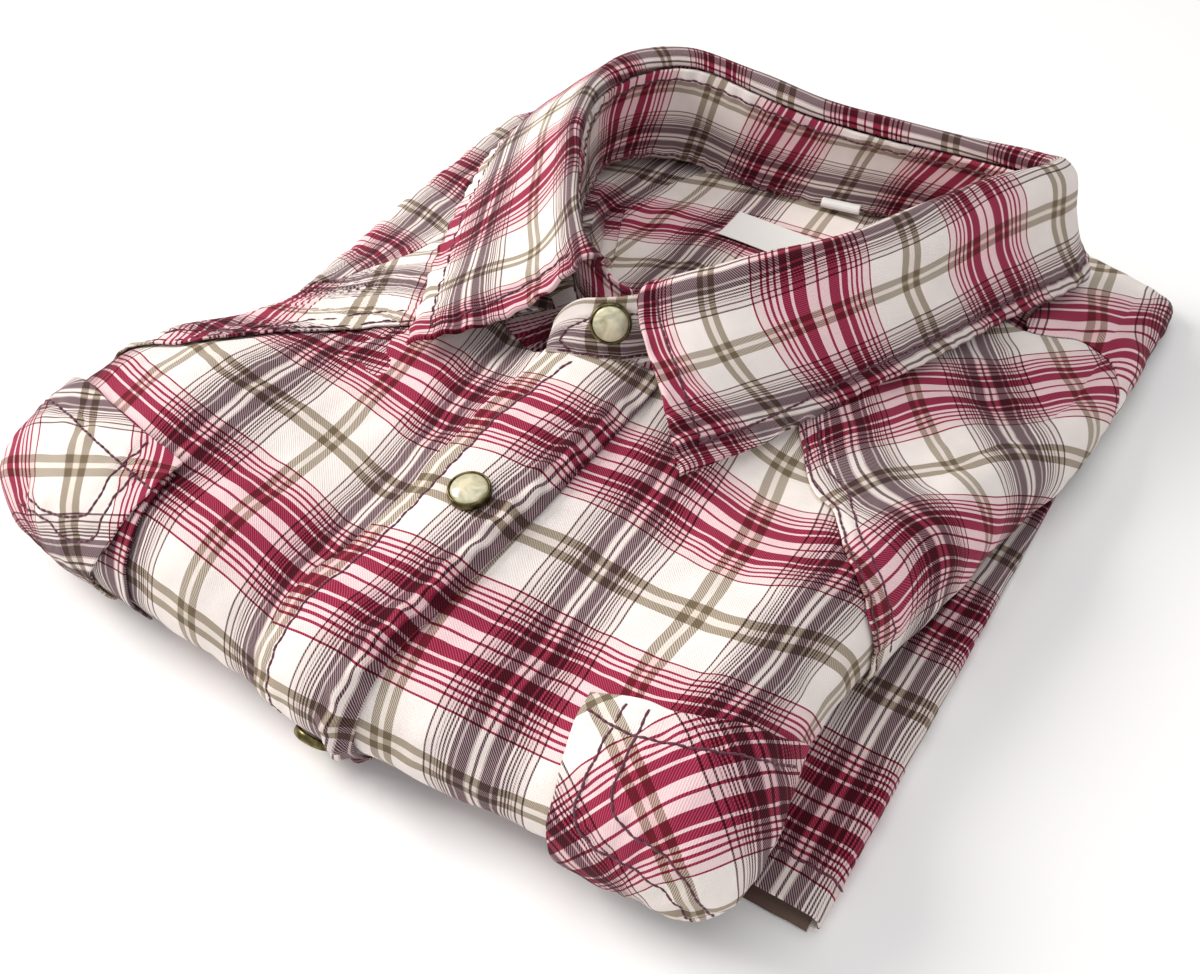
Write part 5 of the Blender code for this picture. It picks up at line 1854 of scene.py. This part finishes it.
# ------------------------------------------------------------------ neck, labels, snaps
@dataclass
class Neck:
    """The back yoke seen in the neck and behind the collar, and the bare labels."""

    yoke_size: tuple[float, float] = (130.0, 160.0)
    label_size: tuple[float, float] = (51.0, 21.5)
    tab_size: tuple[float, float] = (TAB_WIDE, 12.0)
    ribbon_wall: float = 0.5
    ribbon_turn: float = 0.3

    def floor(self, p: Array, q: Array, out: Array | float) -> Array:
        """The back yoke: over the floor of the neck, under the stand and over the back edge.

        Args:
            p: Shares across, 0 to 1.
            q: Shares along, 0 to 1.
            out: Height over the underside.

        Returns:
            The points.
        """
        x, y = self.flat_cloth(p, q)
        lying = drape(x, y, PLY_LIFT + creases(x, y) * 0.5 + out)
        dip = 1.5 * waves(x, y, 51, 34) + 0.5 * waves(x, y, 52, 12)
        dip = dip * np.clip((190 - y) / 12, 0, 1) * np.clip(np.hypot(x - 12, y - 178) / 30, 0.1, 1)
        level = np.stack([x, y, table(NECK_FLOOR, y) + 0.9 + dip + out], -1)
        over = np.clip((y - 188) / 20, 0, 1)
        over = (over * over * (3 - 2 * over))[:, None]
        return lying * over + level * (1 - over)

    @staticmethod
    def flat_cloth(p: Array, q: Array) -> tuple[Array, Array]:
        """Where (p, q) lies in plan.

        Args:
            p: Shares across, 0 to 1.
            q: Shares along, 0 to 1.

        Returns:
            X and y.
        """
        y = between(q, 98.0, float(roll_end(Side.BACK, 118)(np.zeros(1))[0]))
        left = np.interp(
            y, (98, 130, 168, 190, 203, 208, 216, 240), (-18, -35, -51, -46, -34, -46, -92, -95.5)
        )
        right = np.interp(
            y, (98, 130, 168, 190, 209, 214, 221, 240), (22, 45, 62, 69, 74, 78, 92, 99)
        )
        return between(p, left, right), y

    @staticmethod
    def label(p: Array, q: Array, out: Array | float) -> Array:
        """The neck label, its lower edge loose.

        Args:
            p: Shares across, 0 to 1.
            q: Shares along, 0 to 1.
            out: Height over the underside.

        Returns:
            The points.
        """
        x = between(p, -13.0, 38.0)
        y = between(q, 171.0, 188.5) - 2.5 * p
        under = table(NECK_FLOOR, y) + 0.9 + WALL + 0.7
        loose = 1.4 * (1 - q) ** 2 + 0.25 * np.sin(p * 7.0) * (1 - q)
        return np.stack([x, y, under + loose + out], -1)

    @staticmethod
    def tab(p: Array, q: Array, out: Array | float) -> Array:
        """The size tab, a loop of ribbon out of the neck seam.

        Args:
            p: Shares across, 0 to 1.
            q: Shares round the loop.
            out: Height over the underside.

        Returns:
            The points.
        """
        keys = np.linspace(0, 1, len(TAB_LOOP))
        loop = [[row[c] for row in TAB_LOOP] for c in (0, 1)]
        away, up = (hermite(keys, side, q) for side in loop)
        ahead = [hermite(keys, side, np.minimum(q + 0.02, 1)) for side in loop]
        behind = [hermite(keys, side, np.maximum(q - 0.02, 0)) for side in loop]
        da, du = ahead[0] - behind[0], ahead[1] - behind[1]
        size = np.hypot(da, du)
        away, up = away - du / size * (out - 0.25), up + da / size * (out - 0.25)
        (x, y, z), (along_x, along_y) = TAB_SEAT, TAB_WAY
        return np.stack(
            [
                x + TAB_WIDE * p * along_x + away * along_y,
                y + TAB_WIDE * p * along_y - away * along_x, z + up,
            ],
            -1,
        )

    def build(self, wardrobe: Wardrobe) -> None:
        """Makes the back yoke and the labels.

        Args:
            wardrobe: The finishes.
        """
        chart = CHARTS["back_yoke"]
        piece = woven(
            "cloth_back_yoke", (90, 110), self.yoke_size, self.floor,
            lambda p, q: chart.weave(*self.flat_cloth(p, q)), wardrobe.cloth,
        )
        declare(piece, Finish.CLOTH, ("back_yoke",), (205, 175, 20500), ("hidden_layers",))
        for node, cells, size, place, cut in (
            ("neck_label", (40, 20), self.label_size, self.label, (51, 22, 1100)),
            ("size_tab", (12, 24), self.tab_size, self.tab, (14.4, 13, 170)),
        ):
            ribbon = woven(
                "ribbon_" + node, cells, size, place,
                lambda p, q, size=size: np.stack([p * size[0], q * size[1]], -1),
                wardrobe.ribbon, self.ribbon_wall, self.ribbon_turn,
            )
            declare(ribbon, Finish.RIBBON, (node,), cut, ("back_yoke",))


@dataclass
class Snaps:
    """Pearl snaps: a domed cap in a turned brass ring. Profiles are (radius, height) pairs."""

    sides: int = 48
    ring: tuple[tuple[float, float], ...] = (
        (5.05, 0.3), (5.3, 0.05), (6.0, 0.0), (6.22, 0.25), (6.3, 0.8), (6.28, 1.5), (6.2, 2.05),
        (6.02, 2.45), (5.82, 2.6), (5.62, 2.55), (5.5, 2.3), (5.4, 1.6),
    )
    cap: tuple[tuple[float, float], ...] = (
        (0.0, 0.1), (4.6, 0.1), (4.85, 0.3), (4.98, 0.9), (5.38, 1.7), (5.36, 2.1), (5.1, 2.5),
        (4.5, 2.85), (3.5, 3.2), (2.4, 3.5), (1.2, 3.66), (0.0, 3.7),
    )

    def turned(
        self, name: str, profile: Sequence[tuple[float, float]], seat: tuple[Array, Array],
        paint: bpy.types.Material,
    ) -> bpy.types.Object:
        """A piece turned about its own axis and set at a seat.

        Args:
            name: Piece name.
            profile: (radius, height) pairs.
            seat: Point and direction of its axis.
            paint: Material.

        Returns:
            The piece.
        """
        bm = bmesh.new()
        verts = [bm.verts.new((r, 0, z)) for r, z in profile]
        pairs = list(zip(verts, verts[1:]))
        if profile[0][0] > 0:
            pairs.append((verts[-1], verts[0]))
        edges = [bm.edges.new(pair) for pair in pairs]
        bmesh.ops.spin(
            bm, geom=verts + edges, cent=(0, 0, 0), axis=(0, 0, 1), angle=math.tau,
            steps=self.sides, use_merge=True,
        )
        bmesh.ops.remove_doubles(bm, verts=bm.verts, dist=0.001)
        turn = Vector(seat[1]).to_track_quat("Z", "Y").to_matrix().to_4x4()
        bmesh.ops.transform(bm, matrix=Matrix.Translation(Vector(seat[0])) @ turn, verts=bm.verts)
        return settle(name, bm, paint)

    @staticmethod
    def seat(
        place: Place, at: tuple[float, float], spread: tuple[float, float], out: float
    ) -> tuple[Array, Array]:
        """Where a snap sits on a sheet: clear of it at its highest point under the ring.

        Args:
            place: Gives the sheet's points.
            at: The snap's middle on the sheet.
            spread: How far round it to look for the highest point, across and along.
            out: Height of the sheet's face over its underside.

        Returns:
            The seat's point and direction.
        """
        spot = np.array([at[0]]), np.array([at[1]])
        centre = place(*spot, out)[0]
        normal = place(*spot, out + 1.0)[0] - centre
        normal /= np.linalg.norm(normal)
        reach = np.linspace(-1, 1, 15)
        grid = np.meshgrid(reach * spread[0] + at[0], reach * spread[1] + at[1])
        around = place(grid[0].ravel(), grid[1].ravel(), out) - centre
        high = around @ normal
        wide = np.linalg.norm(around - high[:, None] * normal, axis=1)
        under = (wide < RING_RADIUS + 1.0) & (np.abs(high) < 6)
        return centre + normal * (high[under].max() + 0.1), normal

    def build(self, wardrobe: Wardrobe) -> None:
        """Makes the collar snap and the two that show down the placket.

        Args:
            wardrobe: The finishes.
        """
        collar = Collar()

        def on_stand(p: Array, q: Array, out: float) -> Array:
            """The stand's sheet under its snap."""
            point, normal = collar.stand_at(p, q)
            return point + normal * (out - COLLAR_WALL / 2)

        def on_placket(u: Array, v: Array, out: float) -> Array:
            """The placket's sheet under its snaps."""
            return drape(u, v, placket_lift(u, v) + out)

        station_at, share = COLLAR_SNAP
        at = (station_at / (len(STAND) - 1), share)
        seats = {"snap_collar": self.seat(on_stand, at, (0.016, 0.35), COLLAR_WALL)}
        for count, v in enumerate(SNAP_PLACES, 1):
            at = (table(PLACKET_AXIS, [v])[0], v)
            seats[f"snap_front_{count}"] = self.seat(on_placket, at, (5, 8), WALL)
        for name, seat in seats.items():
            ring = self.turned("turned_" + name + "_ring", self.ring, seat, wardrobe.brass)
            declare(ring, Finish.BRASS, (name + "_ring",))
            cap = self.turned("turned_" + name + "_cap", self.cap, seat, wardrobe.pearl)
            declare(cap, Finish.PEARL, (name + "_cap",))


# ------------------------------------------------------------------ folded layers
@dataclass
class FoldedLayers:
    """Back, tails and folded sides: a stack of plies whose rolled edges show round the base."""

    plies: int = 5
    bulge: float = 1.7  # of each ply's rolled edge
    slack: float = 0.7  # air between the stack and the fronts
    square: int = 12  # power of the base's rounded outline

    @staticmethod
    def reach(ways: Array, degrees: float) -> Array:
        """Distance from the neck's centre to where the skin has turned this far.

        Args:
            ways: Directions in plan.
            degrees: The angle.

        Returns:
            The distances.
        """
        low, high = np.full(len(ways), 20.0), np.full(len(ways), 420.0)
        for _ in range(26):
            middle = (low + high) / 2
            turned = roll_frame(
                NECK_CENTRE[0] + ways[:, 0] * middle, NECK_CENTRE[1] + ways[:, 1] * middle
            )[5]
            short = turned < math.radians(degrees)
            low, high = np.where(short, middle, low), np.where(short, high, middle)
        return low

    @staticmethod
    def neck_reach(ways: Array) -> Array:
        """Distance from the neck's centre to the stand's foot.

        Args:
            ways: Directions in plan.

        Returns:
            The distances.
        """
        loop = np.array([row[:2] for row in STAND[2:19]], float)
        best = np.zeros(len(ways))
        for (ax, ay), (bx, by) in zip(loop, np.roll(loop, -1, axis=0)):
            ex, ey = bx - ax, by - ay
            cross = ways[:, 0] * ey - ways[:, 1] * ex
            cross = np.where(np.abs(cross) < 1e-9, 1e-9, cross)
            gx, gy = ax - NECK_CENTRE[0], ay - NECK_CENTRE[1]
            far, part = (gx * ey - gy * ex) / cross, (gx * ways[:, 1] - gy * ways[:, 0]) / cross
            hit = (far > 0) & (part >= -1e-6) & (part <= 1 + 1e-6)
            best = np.where(hit, np.maximum(best, far), best)
        return best

    def ways(self) -> Array:
        """Directions out of the neck's centre, even along the stack's sides.

        Returns:
            The unit directions.
        """
        left, right, front, back = (-154, 114, -66, 262)
        corners = [(right, front), (right, back), (left, back), (left, front)]
        rows = []
        for (ax, ay), (bx, by) in zip(corners, corners[1:] + corners[:1]):
            part = np.arange(80) / 80
            rows.append(np.stack([ax + (bx - ax) * part, ay + (by - ay) * part], -1))
        return unit(np.concatenate(rows) - np.array(NECK_CENTRE))

    def rings(self) -> tuple[list[Array], list[Array]]:
        """Loops of points from the neck's floor up over the top and down to the base.

        Returns:
            The loops, and the weave's coordinates in mm at each of their points.
        """
        way = self.ways()
        near, start = self.neck_reach(way) - 4.0, self.reach(way, 0.5)
        centre = np.array(NECK_CENTRE)
        chart = CHARTS["back_yoke"]
        loops: list[Array] = []

        def cloth(far: Array) -> Array:
            """The stack's top at distances from the neck's centre."""
            u, v = centre[0] + way[:, 0] * far, centre[1] + way[:, 1] * far
            waist = 1.2 * np.exp(-(((v - 58) / 22) ** 2)) * np.clip((-95 - u) / 12, 0, 1)
            return drape(u, v, -CORE_DROP - self.slack - waist, True)

        def floor(far: Array) -> Array:
            """The neck's floor at distances from its centre."""
            x, y = centre[0] + way[:, 0] * far, centre[1] + way[:, 1] * far
            return np.stack([x, y, table(NECK_FLOOR, y)], -1)

        mouth = cloth(near)
        well = floor(near - 3.0)
        well[:, 2] = np.minimum(well[:, 2], mouth[:, 2] - 0.3)
        loops += [floor(near * 0.2), floor(near * 0.6), floor(near * 0.85), well]
        for part in (0.2, 0.4, 0.6, 0.8):
            step = well + (mouth - well) * part
            sag = 1.6 * np.sin(np.arange(len(way)) * 0.11 + part * 2) * math.sin(math.pi * part)
            step[:, :2] -= way * sag[:, None]
            loops.append(step)
        loops.append(mouth)
        in_neck = len(loops)
        loops += [cloth(between(np.full(len(way), t), near, start)) for t in (0.3, 0.7)]
        loops.append(cloth(start))
        on_top = len(loops)
        loops += [cloth(self.reach(way, turn)) for turn in (30, 55, 80, 100, 118)]
        last = loops[-1]
        far = np.linalg.norm(last[:, :2] - centre, axis=1)
        out_way = unit(last[:, :2] - centre)
        wide = np.where(out_way[:, 0] > 0, FOOT[1] - centre[0], centre[0] - FOOT[0])
        deep = np.where(out_way[:, 1] > 0, FOOT[3] - centre[1], centre[1] - FOOT[2])
        bends = [np.abs(out_way[:, c] / (wide, deep)[c]) ** self.square for c in (0, 1)]
        foot = (bends[0] + bends[1]) ** (-1 / self.square)
        foot = np.minimum(foot, far - 3.5)
        angle = np.arctan2(out_way[:, 1], out_way[:, 0])
        for ply in range(self.plies):
            slip = 1.1 * np.sin(angle * (3 + ply) + ply * 1.9) + 0.6 * np.sin(angle * 11 + ply)
            for step in (0.0, 0.25, 0.5, 0.75, 1.0):
                curve = math.sin(math.pi * step)
                out = foot + slip * curve + self.bulge * math.sqrt(max(curve, 0.0)) - 0.4
                high = (last[:, 2] - 0.6) * (1 - (ply + step) / self.plies)
                plan = centre + out_way * out[:, None]
                loops.append(np.concatenate([plan, high[:, None]], axis=1))
        around = run_along(last)
        threads = []
        for k, loop in enumerate(loops):
            if k < on_top:
                sunk = np.maximum(loop[:, 2] - table(NECK_FLOOR, loop[:, 1]), 0) * (k < in_neck)
                flat_out = loop[:, :2] + way * sunk[:, None]
                threads.append(chart.weave(flat_out[:, 0], flat_out[:, 1]))
            else:
                down = (k - on_top) * 8.0 + 0.3 * loop[:, 2]
                threads.append(np.stack([around, down], -1))
        return loops, threads

    def build(self, wardrobe: Wardrobe) -> None:
        """Bridges the rings and closes the neck's floor and the flat base.

        Args:
            wardrobe: The finishes.
        """
        loops, threads = self.rings()
        bm = bmesh.new()
        key = bm.verts.layers.int.new("key")
        edges = []
        for loop in loops:
            verts = []
            for point in loop:
                vert = bm.verts.new(point)
                vert[key] = len(bm.verts) - 1
                verts.append(vert)
            edges.append([bm.edges.new(pair) for pair in zip(verts, verts[1:] + verts[:1])])
        for low, high in zip(edges, edges[1:]):
            bmesh.ops.bridge_loops(bm, edges=low + high)
        bmesh.ops.contextual_create(bm, geom=edges[0])
        bmesh.ops.contextual_create(bm, geom=edges[-1])
        bmesh.ops.triangulate(bm, faces=[face for face in bm.faces if len(face.verts) > 4])
        layer = bm.loops.layers.uv.new("weave")
        known = np.concatenate(threads) / UV_MM
        for face in bm.faces:
            for corner in face.loops:
                corner[layer].uv = known[corner.vert[key]]
        piece = settle("cloth_folded_layers", bm, wardrobe.cloth)
        piece.data.attributes.remove(piece.data.attributes["key"])
        declare(piece, Finish.CLOTH, ("hidden_layers",))


# ------------------------------------------------------------------ studio
@dataclass
class Studio:
    """Pale floor, soft lights and the camera."""

    centre: tuple[float, float, float] = (172.95, -304.14, 322.7)
    azimuth: float = 31.3
    elevation: float = 45.1
    lens: float = 41.1

    def build(self) -> None:
        """Makes the floor, the lights, the sky and the camera."""
        bm = bmesh.new()
        bmesh.ops.create_grid(bm, x_segments=1, y_segments=1, size=4000.0)
        bmesh.ops.translate(bm, vec=Vector(SHIFT), verts=bm.verts)
        floor = settle("studio_floor", bm, PaleFloor().material())
        self.light("key", (-1.25, -0.35, 1.0), 0.8, 25.5, "#FFFBF8")
        self.light("fill", (0.9, -1.0, 0.9), 1.4, 6.4, "#F8F8FF")
        self.light("top", (0.0, 0.0, 1.7), 1.5, 11.0, "#FFFFFF")
        world = bpy.data.worlds.new("studio")
        world.use_nodes = True
        sky = world.node_tree.nodes["Background"]
        sky.inputs[0].default_value = linear("#F7F8FA")
        sky.inputs[1].default_value = 0.37
        bpy.context.scene.world = world
        bpy.context.scene.view_settings.view_transform = "Standard"
        self.camera()

    @staticmethod
    def light(
        name: str, place: tuple[float, float, float], size: float, power: float, tint: str
    ) -> None:
        """A square soft box aimed at the shirt.

        Args:
            name: Its name.
            place: Its place in metres.
            size: Length of its side in metres.
            power: Power in watts.
            tint: Colour as an sRGB hex value.
        """
        lamp = bpy.data.lights.new(name, "AREA")
        lamp.size, lamp.energy = size, power
        lamp.color = linear(tint)[:3]
        holder = bpy.data.objects.new(name, lamp)
        holder.location = place
        away = Vector(place) - Vector((0, 0, 0.04))
        holder.rotation_euler = away.to_track_quat("Z", "Y").to_euler()
        bpy.context.scene.collection.objects.link(holder)

    def camera(self) -> None:
        """The camera, turned by its azimuth and elevation about the shirt."""
        a, e = math.radians(self.azimuth), math.radians(self.elevation)
        back = Vector((math.sin(a) * math.cos(e), -math.cos(a) * math.cos(e), math.sin(e)))
        right = Vector((math.cos(a), math.sin(a), 0))
        up = back.cross(right)
        eye = bpy.data.cameras.new("camera")
        eye.lens, eye.sensor_width, eye.sensor_fit = self.lens, 36.0, "HORIZONTAL"
        eye.clip_start, eye.clip_end = 0.01, 20.0
        holder = bpy.data.objects.new("camera", eye)
        turn = Matrix((right, up, back)).transposed().to_4x4()
        holder.matrix_world = Matrix.Translation(Vector(self.centre) * MM) @ turn
        bpy.context.scene.collection.objects.link(holder)
        bpy.context.scene.camera = holder


def main() -> None:
    """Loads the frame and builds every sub-assembly."""
    logging.basicConfig(level=logging.INFO, format="%(message)s")
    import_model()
    Studio().build()
    wardrobe = Wardrobe.make()
    seamstress = Seamstress(wardrobe.thread)
    Body().build(wardrobe, seamstress)
    Pockets().build(wardrobe, seamstress)
    Sleeves().build(wardrobe, seamstress)
    Collar().build(wardrobe, seamstress)
    Neck().build(wardrobe)
    Snaps().build(wardrobe)
    FoldedLayers().build(wardrobe)


if __name__ == "__main__":
    main()
